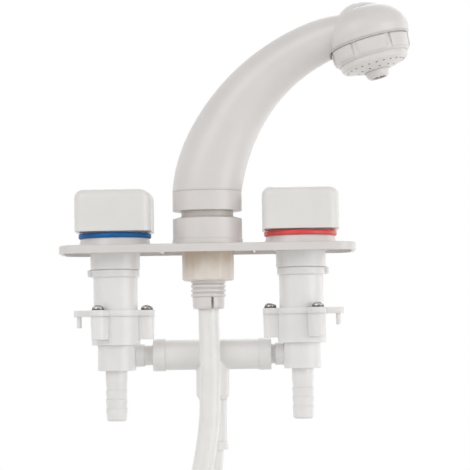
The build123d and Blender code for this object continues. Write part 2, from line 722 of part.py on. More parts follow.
def knob():
    half = KNOB_SIDE / 2
    body = prism(RectangleRounded(KNOB_SIDE, KNOB_SIDE, KNOB_CORNER), KNOB_FOOT_Z, KNOB_TOP_Z)
    body = fillet(body.faces().sort_by(Axis.Z)[-1].edges(), KNOB_TOP_EDGE)
    inner = prism(
        RectangleRounded(KNOB_SIDE - 2 * KNOB_WALL, KNOB_SIDE - 2 * KNOB_WALL,
                         KNOB_CORNER - KNOB_WALL / 2),
        KNOB_FOOT_Z - CUT_PAST, KNOB_TOP_Z - KNOB_WALL,
    )
    inner = fillet(inner.faces().sort_by(Axis.Z)[-1].edges(), KNOB_TOP_EDGE - KNOB_WALL)
    body -= inner
    index_top = BOSS_TOP_Z + INDEX_HEIGHT
    neck_foot = index_top + FLAT_GAP
    body += ring(KNOB_NECK_R, KNOB_NECK_R - KNOB_WALL, neck_foot, KNOB_TOP_Z - KNOB_WALL)
    foot = prism(RectangleRounded(KNOB_SIDE, KNOB_SIDE, KNOB_CORNER), KNOB_FOOT_Z,
                 KNOB_FOOT_Z + KNOB_WALL)
    body += foot - disc(KNOB_NECK_R - KNOB_WALL, KNOB_FOOT_Z - CUT_PAST, KNOB_FOOT_Z + KNOB_WALL + CUT_PAST)
    body += disc(KNOB_HUB_R, KNOB_FOOT_Z, KNOB_TOP_Z - KNOB_WALL)
    inner_reach = KNOB_NECK_R - KNOB_WALL / 2
    for angle in (0, 90):
        body += Rot(0, 0, angle) * slab(-inner_reach, inner_reach, -KNOB_RIB / 2, KNOB_RIB / 2,
                                        KNOB_TOP_Z - 4 * KNOB_WALL, KNOB_TOP_Z - KNOB_WALL)
    square_top = KNOB_TOP_Z - 3 * KNOB_WALL
    body -= slab(-DRIVE_SIDE / 2, DRIVE_SIDE / 2, -DRIVE_SIDE / 2, DRIVE_SIDE / 2,
                 KNOB_FOOT_Z - CUT_PAST, square_top) & disc(SPINDLE_R, KNOB_FOOT_Z - CUT_PAST, square_top)
    return one(body)


# Tee and its ferrule

def lying(radius, x0, x1):
    return Pos((x0 + x1) / 2, TEE_Y, TEE_Z) * Rot(0, 90, 0) * Cylinder(radius, x1 - x0)


def tee():
    left = TEE_SHIFT - TEE_HALF
    right = TEE_SHIFT + TEE_HALF
    body = lying(TEE_R, left, right)
    body += lying(TEE_BAND_R, left, left + TEE_BAND)
    body += lying(TEE_BAND_R, right - TEE_BAND, right)
    chamfer_bottom = OUTLET_BOTTOM_Z - OUTLET_CHAMFER
    body += disc(OUTLET_R, OUTLET_BOTTOM_Z, TEE_Z, TEE_SHIFT, TEE_Y)
    body += Pos(TEE_SHIFT, TEE_Y, (OUTLET_BOTTOM_Z + chamfer_bottom) / 2) * Cone(
        OUTLET_END_R, OUTLET_R, OUTLET_CHAMFER
    )
    stem_bottom = chamfer_bottom - STEM_LENGTH
    body += disc(STEM_R, stem_bottom, chamfer_bottom, TEE_SHIFT, TEE_Y)
    body -= lying(TEE_WATER_R, left - CUT_PAST, right + CUT_PAST)
    body -= lying(TEE_BORE_R, left - CUT_PAST, left + TEE_SOCKET)
    body -= lying(TEE_BORE_R, right - TEE_SOCKET, right + CUT_PAST)
    body -= disc(STEM_BORE_R, stem_bottom - CUT_PAST, TEE_Z, TEE_SHIFT, TEE_Y)
    return one(body)


def hose_ferrule():
    top = OUTLET_BOTTOM_Z - OUTLET_CHAMFER
    body = disc(FERRULE_R, FERRULE_BOTTOM_Z, top, TEE_SHIFT, TEE_Y)
    lip_top = FERRULE_BOTTOM_Z + FERRULE_LIP
    lip = disc(FERRULE_LIP_R, FERRULE_BOTTOM_Z, lip_top, TEE_SHIFT, TEE_Y)
    lip = fillet(lip.edges().sort_by(Axis.Z)[-1], FERRULE_LIP_ROUND)
    body += lip
    bore = disc(HOSE_R + SEAT_GAP, FERRULE_BOTTOM_Z - CUT_PAST, top + CUT_PAST, TEE_SHIFT, TEE_Y)
    return one(body - bore)


# Handset, modelled in the XZ plane and swung about the pedestal

def arm_section(section, inset=0.0, drop=0.0):
    reach, rise, lean, thickness, width = section
    angle = radians(lean)
    plane = Plane(origin=(reach, 0, COLLAR_TOP_Z + rise - drop), x_dir=(cos(angle), 0, -sin(angle)),
                  z_dir=(sin(angle), 0, cos(angle)))
    return plane * Ellipse(thickness / 2 - inset, width / 2 - inset)


def head_plane():
    tilt = radians(HEAD_TILT)
    return Plane(origin=(HEAD_REACH, 0, HEAD_Z), x_dir=(cos(tilt), 0, sin(tilt)),
                 z_dir=(sin(tilt), 0, -cos(tilt)))


def head_frame(piece):
    # From the head's own frame, with +Z along the spray, to the handset's
    return head_plane().location * piece


def swing(piece):
    # From the handset's XZ plane to its place over the deck
    return Rot(0, 0, -HANDSET_SWING) * piece


def root_section(inset=0.0):
    # The arm's last section, well inside the head and square to the spray axis
    tilt = radians(HEAD_TILT)
    centre = (
        HEAD_REACH - ROOT_INSET * cos(tilt) - ROOT_DEPTH * sin(tilt),
        0,
        HEAD_Z - ROOT_INSET * sin(tilt) + ROOT_DEPTH * cos(tilt),
    )
    plane = Plane(origin=centre, x_dir=(sin(tilt), 0, -cos(tilt)),
                  z_dir=(cos(tilt), 0, sin(tilt)))
    return plane * Ellipse(ROOT_HEIGHT / 2 - inset, ROOT_WIDTH / 2 - inset)


def arm(inset=0.0):
    # The inner skin starts a little lower, so that it opens the arm's foot
    sections = [arm_section(ARM_SECTIONS[0], inset, inset / 2)]
    sections += [arm_section(section, inset) for section in ARM_SECTIONS[1:]]
    return loft(sections + [root_section(inset)])


def dome(radius, seam_radius, height, crown, bottom=0.0):
    # The head's housing, turned about the spray axis: a straight rim, a round shoulder and a crown
    rim = -height * HEAD_RIM_SHARE
    out, up = HEAD_SHOULDER_SHARES
    outline = Polyline((0, 0, bottom), (seam_radius, 0, bottom), (radius, 0, rim))
    shoulder = ThreePointArc(
        (radius, 0, rim),
        (radius * out, 0, -height * up),
        (crown, 0, -height),
    )
    top = Polyline((crown, 0, -height), (0, 0, -height), (0, 0, bottom))
    return revolve(make_face(outline + shoulder + top), Axis.Z)


def button_hole_radius():
    return BUTTON_R + MOVE_GAP


def ring_room(wall=0.0):
    # The room that the selector ring turns in, cut from the arm's underside beside the head
    return head_frame(disc(PAD_R + 2 * MOVE_GAP + wall, -wall, 2 * RING_BOTTOM))


def handset_shell():
    body = arm() + head_frame(dome(HEAD_R, HEAD_SEAM_R, HEAD_HEIGHT, HEAD_CROWN_R)) - ring_room()
    inner = arm(SHELL_WALL) - ring_room(SHELL_WALL)
    inner += head_frame(dome(
        HEAD_R - SHELL_WALL, HEAD_SEAM_R - SHELL_WALL, HEAD_HEIGHT - SHELL_WALL,
        HEAD_CROWN_R - SHELL_WALL, CUT_PAST,
    ))
    body -= inner
    hole = Rot(0, 0, BUTTON_HOLE_SEAM) * disc(button_hole_radius(), -2 * HEAD_HEIGHT, CHAMBER_TOP)
    return one(body - head_frame(hole))


def handset_collar():
    chamber_floor = COLLAR_FOOT_Z + COLLAR_WALL
    lip_r = COLLAR_R - SHELL_WALL - COLLAR_LIP_GAP
    body = disc(COLLAR_R, COLLAR_FOOT_Z, COLLAR_TOP_Z)
    body = fillet(body.edges().sort_by(Axis.Z)[0], COLLAR_ROUND)
    body += disc(lip_r, COLLAR_TOP_Z, COLLAR_TOP_Z + COLLAR_LIP)
    body += disc(PLUG_R, PLUG_FOOT_Z, COLLAR_FOOT_Z)
    body -= disc(COLLAR_CHAMBER_R, chamber_floor, COLLAR_TOP_Z + COLLAR_LIP + CUT_PAST)
    return one(body - disc(HOSE_R + MOVE_GAP, PLUG_FOOT_Z - CUT_PAST, chamber_floor + CUT_PAST))


def hose_connector():
    top = CONNECTOR_FOOT_Z + CONNECTOR_HEIGHT
    body = prism(RegularPolygon(CONNECTOR_R, 6), CONNECTOR_FOOT_Z, top)
    body -= disc(HOSE_R + SEAT_GAP, CONNECTOR_FOOT_Z - CUT_PAST, CONNECTOR_FOOT_Z + CONNECTOR_SOCKET)
    body += disc(HOSE_BORE_R - SEAT_GAP, CONNECTOR_FOOT_Z, top)
    return one(body - disc(CONNECTOR_BORE_R, CONNECTOR_FOOT_Z - CUT_PAST, top + CUT_PAST))


def connector_washer():
    bottom = CONNECTOR_FOOT_Z + CONNECTOR_HEIGHT
    return one(ring(CONNECTOR_R - WASHER_INSET, CONNECTOR_BORE_R, bottom, bottom + WASHER_HEIGHT))


def chamber_inlet_point(radial):
    tilt = radians(HEAD_TILT)
    return Vector(
        HEAD_REACH + radial * cos(tilt) + CHAMBER_INLET * sin(tilt),
        0,
        HEAD_Z + radial * sin(tilt) - CHAMBER_INLET * cos(tilt),
    )


def waterway_foot():
    return CONNECTOR_FOOT_Z + CONNECTOR_HEIGHT + WASHER_HEIGHT


def waterway_shoulder():
    # The last bend, a little above the middle of the arm
    lower = ARM_SECTIONS[3]
    upper = ARM_SECTIONS[4]
    height = COLLAR_TOP_Z + (lower[1] + upper[1]) / 2 + WATER_RISE
    return Vector((lower[0] + upper[0]) / 2, 0, height)


def waterway():
    foot = waterway_foot()
    knee_z = COLLAR_TOP_Z + ARM_SECTIONS[1][1]
    end = chamber_inlet_point(CHAMBER_WALL - CHAMBER_R)
    route = FilletPolyline((0, 0, foot), (0, 0, knee_z), waterway_shoulder(), end,
                           radius=WATER_BEND_R)
    tube = sweep(Pos(0, 0, foot) * (Circle(WATER_R) - Circle(WATER_BORE_R)), path=route)
    flange = ring(WATER_FLANGE_R, WATER_BORE_R, foot, foot + WATER_FLANGE)
    return one(tube + flange)


# Head pieces, modelled with +Z along the spray axis

def diverter_top():
    return CHAMBER_FLOOR + FLAT_GAP


def face_seal_radius():
    # The seal's outside runs in the bowl
    return BOWL_R - BOWL_WALL - RUN_GAP - FACE_SEAL_WIRE_R


def port_drills(bottom, top, first=0.0):
    return around(PORT_COUNT, CHAMBER_PORT_OFFSET, disc(CHAMBER_PORT_R, bottom, top), first)


def head_chamber():
    body = disc(CHAMBER_R, CHAMBER_TOP, CHAMBER_FLOOR)
    body -= disc(CHAMBER_R - CHAMBER_WALL, CHAMBER_TOP + CHAMBER_WALL, 0)
    rim_r = HEAD_SEAM_R - SHELL_WALL - SEAT_GAP
    body += ring(rim_r, CHAMBER_R - CHAMBER_WALL / 2, CHAMBER_RIM_TOP, 0)
    body -= port_drills(-CUT_PAST, CHAMBER_FLOOR + CUT_PAST)
    seat_bottom = CHAMBER_FLOOR - NOZZLE_STEM_SEAT
    body -= disc(NOZZLE_STEM_R + RUN_GAP, seat_bottom, CHAMBER_FLOOR + CUT_PAST)
    groove_half = FACE_SEAL_WIRE_R + SEAT_GAP
    groove_r = face_seal_radius() - groove_half
    body -= ring(CHAMBER_R + CUT_PAST, groove_r, FACE_SEAL_Z - groove_half, FACE_SEAL_Z + groove_half)
    body -= disc(BUTTON_STEM_R + RUN_GAP, CHAMBER_TOP - CUT_PAST, CHAMBER_TOP + CHAMBER_WALL + CUT_PAST)
    end = chamber_inlet_point(CHAMBER_WALL - CHAMBER_R)
    run = (end - waterway_shoulder()).normalized()
    reach = 4 * WATER_R
    hole = Plane(origin=end, z_dir=run) * Pos(0, 0, -reach / 2 + CUT_PAST) * Cylinder(
        WATER_R + SEAT_GAP, reach
    )
    return one(head_frame(body) - hole)


def selector_ring():
    body = turned([
        (RING_BORE_R, RING_TOP),
        (RING_R, RING_TOP),
        (RING_R, RING_BOTTOM - RING_CHAMFER[1][1]),
        (RING_R - RING_CHAMFER[0][0], RING_BOTTOM - RING_CHAMFER[0][1]),
        (RING_R - RING_CHAMFER[1][0], RING_BOTTOM),
        (RING_BORE_R, RING_BOTTOM),
    ])
    pad_profile = turned([
        (RING_R - PAD_ROOT, PAD_TOP),
        (PAD_R - PAD_TOP_CHAMFER[0], PAD_TOP),
        (PAD_R, PAD_TOP + PAD_TOP_CHAMFER[1]),
        (PAD_R - PAD_FOOT_CHAMFER[0][0], PAD_BOTTOM - PAD_FOOT_CHAMFER[0][1]),
        (PAD_R - PAD_FOOT_CHAMFER[1][0], PAD_BOTTOM),
        (RING_R - PAD_ROOT, PAD_BOTTOM),
    ])
    half = radians(PAD_SPAN / 2)
    far = 2 * PAD_R
    wedge = make_face(Polyline(
        (0, 0), (far * cos(half), -far * sin(half)), (far * cos(half), far * sin(half)), close=True
    ))
    sector = prism(wedge, PAD_TOP - CUT_PAST, PAD_BOTTOM + CUT_PAST)
    pad = pad_profile & sector
    body += [Rot(0, 0, PAD_FIRST + 360.0 * step / PAD_COUNT) * pad for step in range(PAD_COUNT)]
    return one(body)


def spray_face():
    inner_top = BOWL_BOTTOM - BOWL_WALL
    stem_hole_r = NOZZLE_STEM_R + SEAT_GAP
    inset, share = BOWL_SHOULDER_ROUND
    bend_z = BOWL_SHOULDER + BOWL_SHOULDER_DROP * share
    outer = [
        (BOWL_R, BOWL_TOP),
        (BOWL_R, BOWL_SHOULDER),
        (BOWL_R - inset, bend_z),
        (BOWL_SHOULDER_R, BOWL_SHOULDER + BOWL_SHOULDER_DROP),
        (BOWL_FLAT_R, BOWL_BOTTOM),
        (stem_hole_r, BOWL_BOTTOM),
    ]
    inner = [
        (stem_hole_r, inner_top),
        (BOWL_FLAT_R, inner_top),
        (BOWL_SHOULDER_R - inset, BOWL_SHOULDER + BOWL_SHOULDER_DROP - BOWL_WALL),
        (BOWL_R - BOWL_WALL, bend_z - BOWL_WALL),
        (BOWL_R - BOWL_WALL, BOWL_TOP),
    ]
    body = turned(outer + inner)
    drill = disc(HOLE_R, BOWL_SHOULDER - BOWL_WALL, BOWL_BOTTOM + CUT_PAST)
    body -= around(OUTER_HOLES, OUTER_HOLE_CIRCLE_R, drill, 180 / OUTER_HOLES)
    body -= around(INNER_HOLES, INNER_HOLE_CIRCLE_R, drill, 180 / INNER_HOLES)
    return one(body)


def diverter_disc():
    # Ports to the spray face, and grooves between them that lead to the nozzle's stem
    top = diverter_top()
    bottom = top + DIVERTER_HEIGHT
    body = disc(BOWL_R - BOWL_WALL - SEAT_GAP, top, bottom)
    body -= disc(NOZZLE_STEM_R + SEAT_GAP, top - CUT_PAST, bottom + CUT_PAST)
    body -= port_drills(top - CUT_PAST, bottom + CUT_PAST)
    groove = disc(CHAMBER_PORT_R, top - CUT_PAST, top + DIVERTER_GROOVE, CHAMBER_PORT_OFFSET)
    groove += slab(0, CHAMBER_PORT_OFFSET, -NOZZLE_SLOT / 2, NOZZLE_SLOT / 2, top - CUT_PAST,
                   top + DIVERTER_GROOVE)
    for step in range(PORT_COUNT):
        body -= Rot(0, 0, (step + 0.5) * 360.0 / PORT_COUNT) * groove
    return one(body)


def centre_nozzle():
    stem_top = CHAMBER_FLOOR - NOZZLE_STEM_SEAT + FLAT_GAP
    body = turned([
        (NOZZLE_STEM_BORE_R, stem_top),
        (NOZZLE_STEM_R, stem_top),
        (NOZZLE_STEM_R, BOWL_BOTTOM),
        (NOZZLE_TOP_R, BOWL_BOTTOM),
        (NOZZLE_END_R, NOZZLE_END - NOZZLE_END_CHAMFER[1]),
        (NOZZLE_END_R - NOZZLE_END_CHAMFER[0], NOZZLE_END),
        (NOZZLE_RECESS_R, NOZZLE_END),
        (NOZZLE_RECESS_R, NOZZLE_END - NOZZLE_RECESS),
        (NOZZLE_STEM_BORE_R, NOZZLE_END - NOZZLE_RECESS),
    ])
    slot = slab(0, NOZZLE_STEM_R + CUT_PAST, -NOZZLE_SLOT / 2, NOZZLE_SLOT / 2, diverter_top(),
                diverter_top() + DIVERTER_GROOVE)
    for step in range(PORT_COUNT):
        body -= Rot(0, 0, (step + 0.5) * 360.0 / PORT_COUNT) * slot
    bar_top = NOZZLE_END - NOZZLE_RECESS
    bar_half = NOZZLE_BAR / 2
    reach = NOZZLE_RECESS_R + NOZZLE_BAR_ROOT
    for angle in (0, 90):
        body += Rot(0, 0, angle) * slab(-reach, reach, -bar_half, bar_half,
                                        bar_top - NOZZLE_BAR_ROOT, NOZZLE_END - NOZZLE_BAR_SINK)
    return one(body)


def face_seal():
    return o_ring(face_seal_radius(), FACE_SEAL_WIRE_R, FACE_SEAL_Z)


def button_top():
    return -HEAD_HEIGHT - BUTTON_CROWN


def stop_button():
    # The lip under the crown keeps the button in its hole
    lip_top = BUTTON_LIP_DROP - HEAD_HEIGHT
    skirt_bottom = lip_top + BUTTON_LIP_HEIGHT
    crown = Vector(0, 0, button_top())
    edge = Vector(BUTTON_R, 0, -HEAD_HEIGHT - BUTTON_EDGE)
    out, up = BUTTON_MIDDLE_SHARES
    middle = Vector(BUTTON_R * out, 0, -HEAD_HEIGHT - BUTTON_CROWN * up)
    lip_r = BUTTON_R + BUTTON_LIP
    side = Polyline(
        edge,
        (BUTTON_R, 0, lip_top),
        (lip_r, 0, lip_top),
        (lip_r, 0, skirt_bottom),
        (BUTTON_R - BUTTON_WALL, 0, skirt_bottom),
        (BUTTON_R - BUTTON_WALL, 0, -HEAD_HEIGHT),
        (0, 0, -HEAD_HEIGHT),
        crown,
    )
    body = revolve(make_face(ThreePointArc(crown, middle, edge) + side), Axis.Z)
    stem_bottom = CHAMBER_TOP + CHAMBER_WALL + BUTTON_STEM_BELOW
    return one(body + disc(BUTTON_STEM_R, -HEAD_HEIGHT - CUT_PAST, stem_bottom))


def button_spring():
    bottom = -HEAD_HEIGHT + SPRING_WIRE_R
    top = CHAMBER_TOP - SPRING_WIRE_R
    points = []
    for quarter in range(4 * SPRING_TURNS + 1):
        angle = quarter * pi / 2
        share = quarter / (4 * SPRING_TURNS)
        position = Vector(SPRING_R * cos(angle), SPRING_R * sin(angle), bottom + (top - bottom) * share)
        rise = (top - bottom) / (SPRING_TURNS * 2 * pi)
        points.append((position, Vector(-SPRING_R * sin(angle), SPRING_R * cos(angle), rise)))
    return tube_through(points, SPRING_WIRE_R)


# Hose

def biarc(start, start_dir, end, end_dir):
    # Two arcs that leave and arrive along the given directions
    across = end - start
    t0 = start_dir.normalized()
    t1 = end_dir.normalized()
    square = 2 * t0.dot(t1) - 2
    linear = -2 * across.dot(t0 + t1)
    constant = across.dot(across)
    reach = (-linear - sqrt(linear * linear - 4 * square * constant)) / (2 * square)
    joint = (start + t0 * reach + end - t1 * reach) / 2
    first = TangentArc([start, joint], tangent=t0)
    return first, TangentArc([joint, end], tangent=first % 1)


def tube_through(stations, radius):
    # An unbroken tube on biarcs through points with their directions
    edges = []
    for (start, start_dir), (end, end_dir) in zip(stations, stations[1:]):
        straight = (end - start).normalized()
        if straight.dot(start_dir.normalized()) > 1 - 1e-9:
            edges.append(Line(start, end))
        else:
            edges += list(biarc(start, start_dir, end, end_dir))
    path = Wire([edge.edge() for edge in edges])
    first, heading = stations[0]
    section = Plane(origin=first, z_dir=heading.normalized()) * Circle(radius)
    return one(sweep(section, path=path))


def coil_stations():
    # The coil's turns lie one behind the other, each a pitch further to the rear
    stations = []
    for quarter in range(COIL_QUARTERS + 1):
        angle = quarter * pi / 2
        x = COIL_X + COIL_R * cos(angle)
        y = COIL_FRONT_Y + COIL_PITCH * quarter / 4
        z = COIL_Z - COIL_R * sin(angle)
        heading = Vector(-sin(angle), COIL_PITCH / (2 * pi * COIL_R), -cos(angle))
        stations.append((Vector(x, y, z), heading))
    first = stations[0][0]
    last = stations[-1][0]
    down = Vector(0, 0, -1)
    across = Vector(1, 0, 0)
    stations[0] = (first, down)
    stations[-1] = (last, across)
    lead_in = (first - down * COIL_LEAD, down)
    lead_out = (last + across * COIL_LEAD, across)
    return [lead_in] + stations + [lead_out]


def coil_gap():
    # The least gap between turns, measured on points along the helix
    steps = 90
    total = COIL_QUARTERS / 4
    points = []
    for index in range(int(total * steps) + 1):
        turn = index / steps
        angle = turn * 2 * pi
        points.append(Vector(COIL_R * cos(angle), COIL_PITCH * turn, -COIL_R * sin(angle)))
    least = 1e9
    for i in range(0, len(points), 3):
        for j in range(i + steps // 2, len(points), 3):
            least = min(least, (points[i] - points[j]).length)
    return least - 2 * HOSE_R


def route_tube(points, radius):
    # Straight runs joined by tangent arcs, each as large as its two runs allow
    vectors = [Vector(*point) for point in points]
    radii = []
    for before, here, after in zip(vectors, vectors[1:], vectors[2:]):
        run_in = here - before
        run_out = after - here
        turn = radians(run_in.get_angle(run_out))
        radii.append(HOSE_BEND_SHARE * min(run_in.length, run_out.length) / tan(turn / 2))
    route = FilletPolyline(*vectors, radius=radii)
    heading = (vectors[1] - vectors[0]).normalized()
    section = Plane(origin=vectors[0], z_dir=heading) * Circle(radius)
    tube = one(sweep(section, path=route))
    share = tube.volume / (pi * radius * radius * route.length)
    print("route radii", [round(value, 1) for value in radii], "length", round(route.length, 1),
          "volume over section times length", round(share, 4))
    return tube, route.length


def hose_upper():
    top = CONNECTOR_FOOT_Z + CONNECTOR_SOCKET
    return one(ring(HOSE_R, HOSE_BORE_R, HOSE_JOINT_Z, top))


def hose_drop():
    coil_start = coil_stations()[0][0]
    return route_tube(DROP_POINTS + ((coil_start.X, coil_start.Y, coil_start.Z),), HOSE_R)


def hose_coil():
    stations = coil_stations()
    return tube_through(stations, HOSE_R)


def hose_return():
    # The hose goes a little way into the ferrule and then over the tee's stem
    coil_end = coil_stations()[-1][0]
    inside_z = FERRULE_BOTTOM_Z + HOSE_PLUG_DEPTH
    top = OUTLET_BOTTOM_Z - OUTLET_CHAMFER - FLAT_GAP
    points = ((coil_end.X, coil_end.Y, coil_end.Z),) + RETURN_POINTS
    tube, length = route_tube(points + ((TEE_SHIFT, TEE_Y, inside_z),), HOSE_R)
    inside = ring(HOSE_R, STEM_R + SEAT_GAP, inside_z, top, TEE_SHIFT, TEE_Y)
    return one(tube + inside), length


def coil_tie():
    # A strap round the turns at the coil's left side
    passes = [
        COIL_FRONT_Y + COIL_PITCH * (turn + 0.5)
        for turn in range(int(COIL_QUARTERS / 4 + 0.5))
    ]
    centre_y = (passes[0] + passes[-1]) / 2
    inner_x = 2 * (HOSE_R + 2 * MOVE_GAP)
    inner_y = passes[-1] - passes[0] + inner_x
    outer_x = inner_x + 2 * TIE_THICKNESS
    outer_y = inner_y + 2 * TIE_THICKNESS
    band = prism(RectangleRounded(outer_x, outer_y, TIE_CORNER + TIE_THICKNESS), -TIE_WIDTH / 2,
                 TIE_WIDTH / 2)
    band -= prism(RectangleRounded(inner_x, inner_y, TIE_CORNER), -TIE_WIDTH, TIE_WIDTH)
    return one(Pos(COIL_X - COIL_R, centre_y, COIL_Z) * band)


def place_valve(side, piece):
    # The hot valve mirrors the cold one
    if side < 0:
        return Pos(-VALVE_X, 0, 0) * piece
    return Pos(VALVE_X, 0, 0) * mirror(piece, about=Plane.YZ)


def build():
    parts["deck_plate"] = [deck_plate()]
    parts["pedestal"] = [pedestal()]
    parts["pedestal_trim"] = [pedestal_trim()]
    parts["deck_nut"] = [deck_nut()]
    parts["swivel_liner"] = [swivel_liner()]
    for side, name in ((-1, "cold"), (1, "hot")):
        screws = [
            Rot(0, 0, angle) * Pos(SCREW_CIRCLE_R, 0, 0) * body_screw() for angle in screw_angles()
        ]
        pieces = {
            "valve_body": [valve_body()],
            "retaining_nut": [retaining_nut()],
            "lock_ring": [lock_ring()],
            "inlet_body": [inlet_body(side)],
            "body_screws": screws,
            "cartridge_housing": [cartridge_housing()],
            "fixed_disc": [fixed_disc()],
            "moving_disc": [moving_disc()],
            "spindle": [spindle()],
            "spindle_seal": [spindle_seal()],
            "disc_seal": [disc_seal()],
            "port_seal": [port_seal(side)],
            "index_ring": [index_ring()],
            "knob": [knob()],
        }
        for piece_name, solids in pieces.items():
            parts[f"{name}_{piece_name}"] = [place_valve(side, solid) for solid in solids]
    parts["tee"] = [tee()]
    parts["hose_ferrule"] = [hose_ferrule()]
    upright = {
        "handset_shell": handset_shell(),
        "handset_collar": handset_collar(),
        "hose_connector": hose_connector(),
        "connector_washer": connector_washer(),
        "waterway": waterway(),
        "head_chamber": head_chamber(),
    }
    on_head = {
        "selector_ring": selector_ring(),
        "spray_face": spray_face(),
        "diverter_disc": diverter_disc(),
        "centre_nozzle": centre_nozzle(),
        "face_seal": face_seal(),
        "stop_button": stop_button(),
        "button_spring": button_spring(),
    }
    for name, piece in upright.items():
        parts[name] = [swing(piece)]
    for name, piece in on_head.items():
        parts[name] = [swing(head_frame(piece))]
    parts["hose_upper"] = [hose_upper()]
    drop, drop_length = hose_drop()
    back, return_length = hose_return()
    coil = hose_coil()
    coil_length = coil.volume / (pi * HOSE_R * HOSE_R)
    parts["hose_drop"] = [drop]
    parts["hose_coil"] = [coil]
    parts["hose_return"] = [back]
    parts["coil_tie"] = [coil_tie()]
    print("hose: drop", round(drop_length), "coil", round(coil_length), "return", round(return_length),
          "free length", round(drop_length + coil_length + return_length))
    print("coil's least gap to itself", round(coil_gap(), 2))


build()
os.makedirs("parts", exist_ok=True)
for node, solids in parts.items():
    shape = solids[0] if len(solids) == 1 else Compound(children=solids)
    export_step(shape, f"parts/{node}.step")
print(len(parts), "nodes")
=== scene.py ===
"""Looks of a deck-mounted shower mixer with a pull-out handset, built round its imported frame."""

from __future__ import annotations

import logging
import math
from collections.abc import Mapping, Sequence
from dataclasses import dataclass, field, replace
from enum import Enum
from typing import Any, ClassVar, Union

import bmesh
import bpy
from mathutils import Matrix, Vector


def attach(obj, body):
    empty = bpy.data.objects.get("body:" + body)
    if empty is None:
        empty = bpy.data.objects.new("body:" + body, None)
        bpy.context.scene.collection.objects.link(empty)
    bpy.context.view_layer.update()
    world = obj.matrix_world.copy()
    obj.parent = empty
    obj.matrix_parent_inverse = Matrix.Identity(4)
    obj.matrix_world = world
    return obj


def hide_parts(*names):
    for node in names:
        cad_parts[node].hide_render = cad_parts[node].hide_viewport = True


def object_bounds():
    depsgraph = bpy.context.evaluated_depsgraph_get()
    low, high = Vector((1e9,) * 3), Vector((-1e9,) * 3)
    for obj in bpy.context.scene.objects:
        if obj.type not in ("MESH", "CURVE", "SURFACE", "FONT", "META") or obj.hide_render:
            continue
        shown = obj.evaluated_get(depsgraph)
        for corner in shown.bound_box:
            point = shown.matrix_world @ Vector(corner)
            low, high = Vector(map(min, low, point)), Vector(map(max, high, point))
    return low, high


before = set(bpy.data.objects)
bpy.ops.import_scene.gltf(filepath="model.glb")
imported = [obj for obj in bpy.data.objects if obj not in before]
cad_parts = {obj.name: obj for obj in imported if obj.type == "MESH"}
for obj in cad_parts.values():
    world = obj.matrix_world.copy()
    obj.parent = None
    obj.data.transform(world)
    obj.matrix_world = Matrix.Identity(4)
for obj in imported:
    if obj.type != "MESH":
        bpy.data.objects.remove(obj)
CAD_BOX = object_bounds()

log = logging.getLogger("shower_mixer")

MM = 0.001

# The head: where its selector turns, and the way it sprays. Its axis leans and is swung forward.
HEAD_CENTRE = Vector((0.0978, -0.0155, 0.1231))
HEAD_TILT = math.radians(15.0)
HEAD_SWING = math.radians(9.0)
HEAD_AXIS = Vector((
    math.sin(HEAD_TILT) * math.cos(HEAD_SWING),
    -math.sin(HEAD_TILT) * math.sin(HEAD_SWING),
    -math.cos(HEAD_TILT),
))

# Where soft noise starts to count and where it counts in full.
SOFT_STEP = (0.3, 0.7)

# How many radians a wave texture of scale 1 turns through in a metre.
WAVE_TURN = 10.0

# The radius, in metres, under which a turned outline's point counts as on the axis.
ON_AXIS = 1e-7

# The angles, in degrees, from which an edge of a cut or of a round piece is crisp.
CRISP_CUT = 35.0
CRISP_ROUND = 40.0

Colour = tuple[int, int, int]
Point = tuple[float, float, float]
Operand = Union["Tone", float]


def linear(colour: Colour, lift: float = 1.0) -> tuple[float, float, float, float]:
    """Turns a colour of 0 to 255 into the linear values that a shader takes.

    Args:
        colour: Red, green and blue as the eye sees them.
        lift: A share that makes the colour lighter or darker.

    Returns:
        Linear red, green and blue, and an alpha of one.
    """
    toe, slope, offset, power = 0.04045, 12.92, 0.055, 2.4
    shares = [value / 255 for value in colour]
    flat = [
        share / slope if share <= toe else ((share + offset) / (1 + offset)) ** power
        for share in shares
    ]
    red, green, blue = (min(1.0, value * lift) for value in flat)
    return red, green, blue, 1.0


class Tone:
    """A value that varies over a surface: an output whose arithmetic adds Math nodes."""

    def __init__(self, board: Board, socket: bpy.types.NodeSocket) -> None:
        """Keeps the board that the socket is on, and the socket."""
        self.board = board
        self.socket = socket

    def _joined(self, operation: str, left: Operand, right: Operand) -> Tone:
        """Returns the result of one Math node on two values."""
        return self.board.node("ShaderNodeMath", {"operation": operation}, {0: left, 1: right})

    def __add__(self, other: Operand) -> Tone:
        """Returns the sum."""
        return self._joined("ADD", self, other)

    def __radd__(self, other: Operand) -> Tone:
        """Returns the sum with a number in front."""
        return self._joined("ADD", other, self)

    def __sub__(self, other: Operand) -> Tone:
        """Returns the difference."""
        return self._joined("SUBTRACT", self, other)

    def __rsub__(self, other: Operand) -> Tone:
        """Returns the difference from a number."""
        return self._joined("SUBTRACT", other, self)

    def __mul__(self, other: Operand) -> Tone:
        """Returns the product."""
        return self._joined("MULTIPLY", self, other)

    def __rmul__(self, other: Operand) -> Tone:
        """Returns the product with a number in front."""
        return self._joined("MULTIPLY", other, self)

    def between(self, low: float, high: float) -> Tone:
        """Eases the value from 0 to 1.

        Args:
            low: Where it is still 0.
            high: Where it has come to 1.

        Returns:
            0 below low, 1 above high and a smooth rise between them.
        """
        return self.board.node(
            "ShaderNodeMapRange",
            {"interpolation_type": "SMOOTHSTEP"},
            {0: self, 1: low, 2: high},
        )


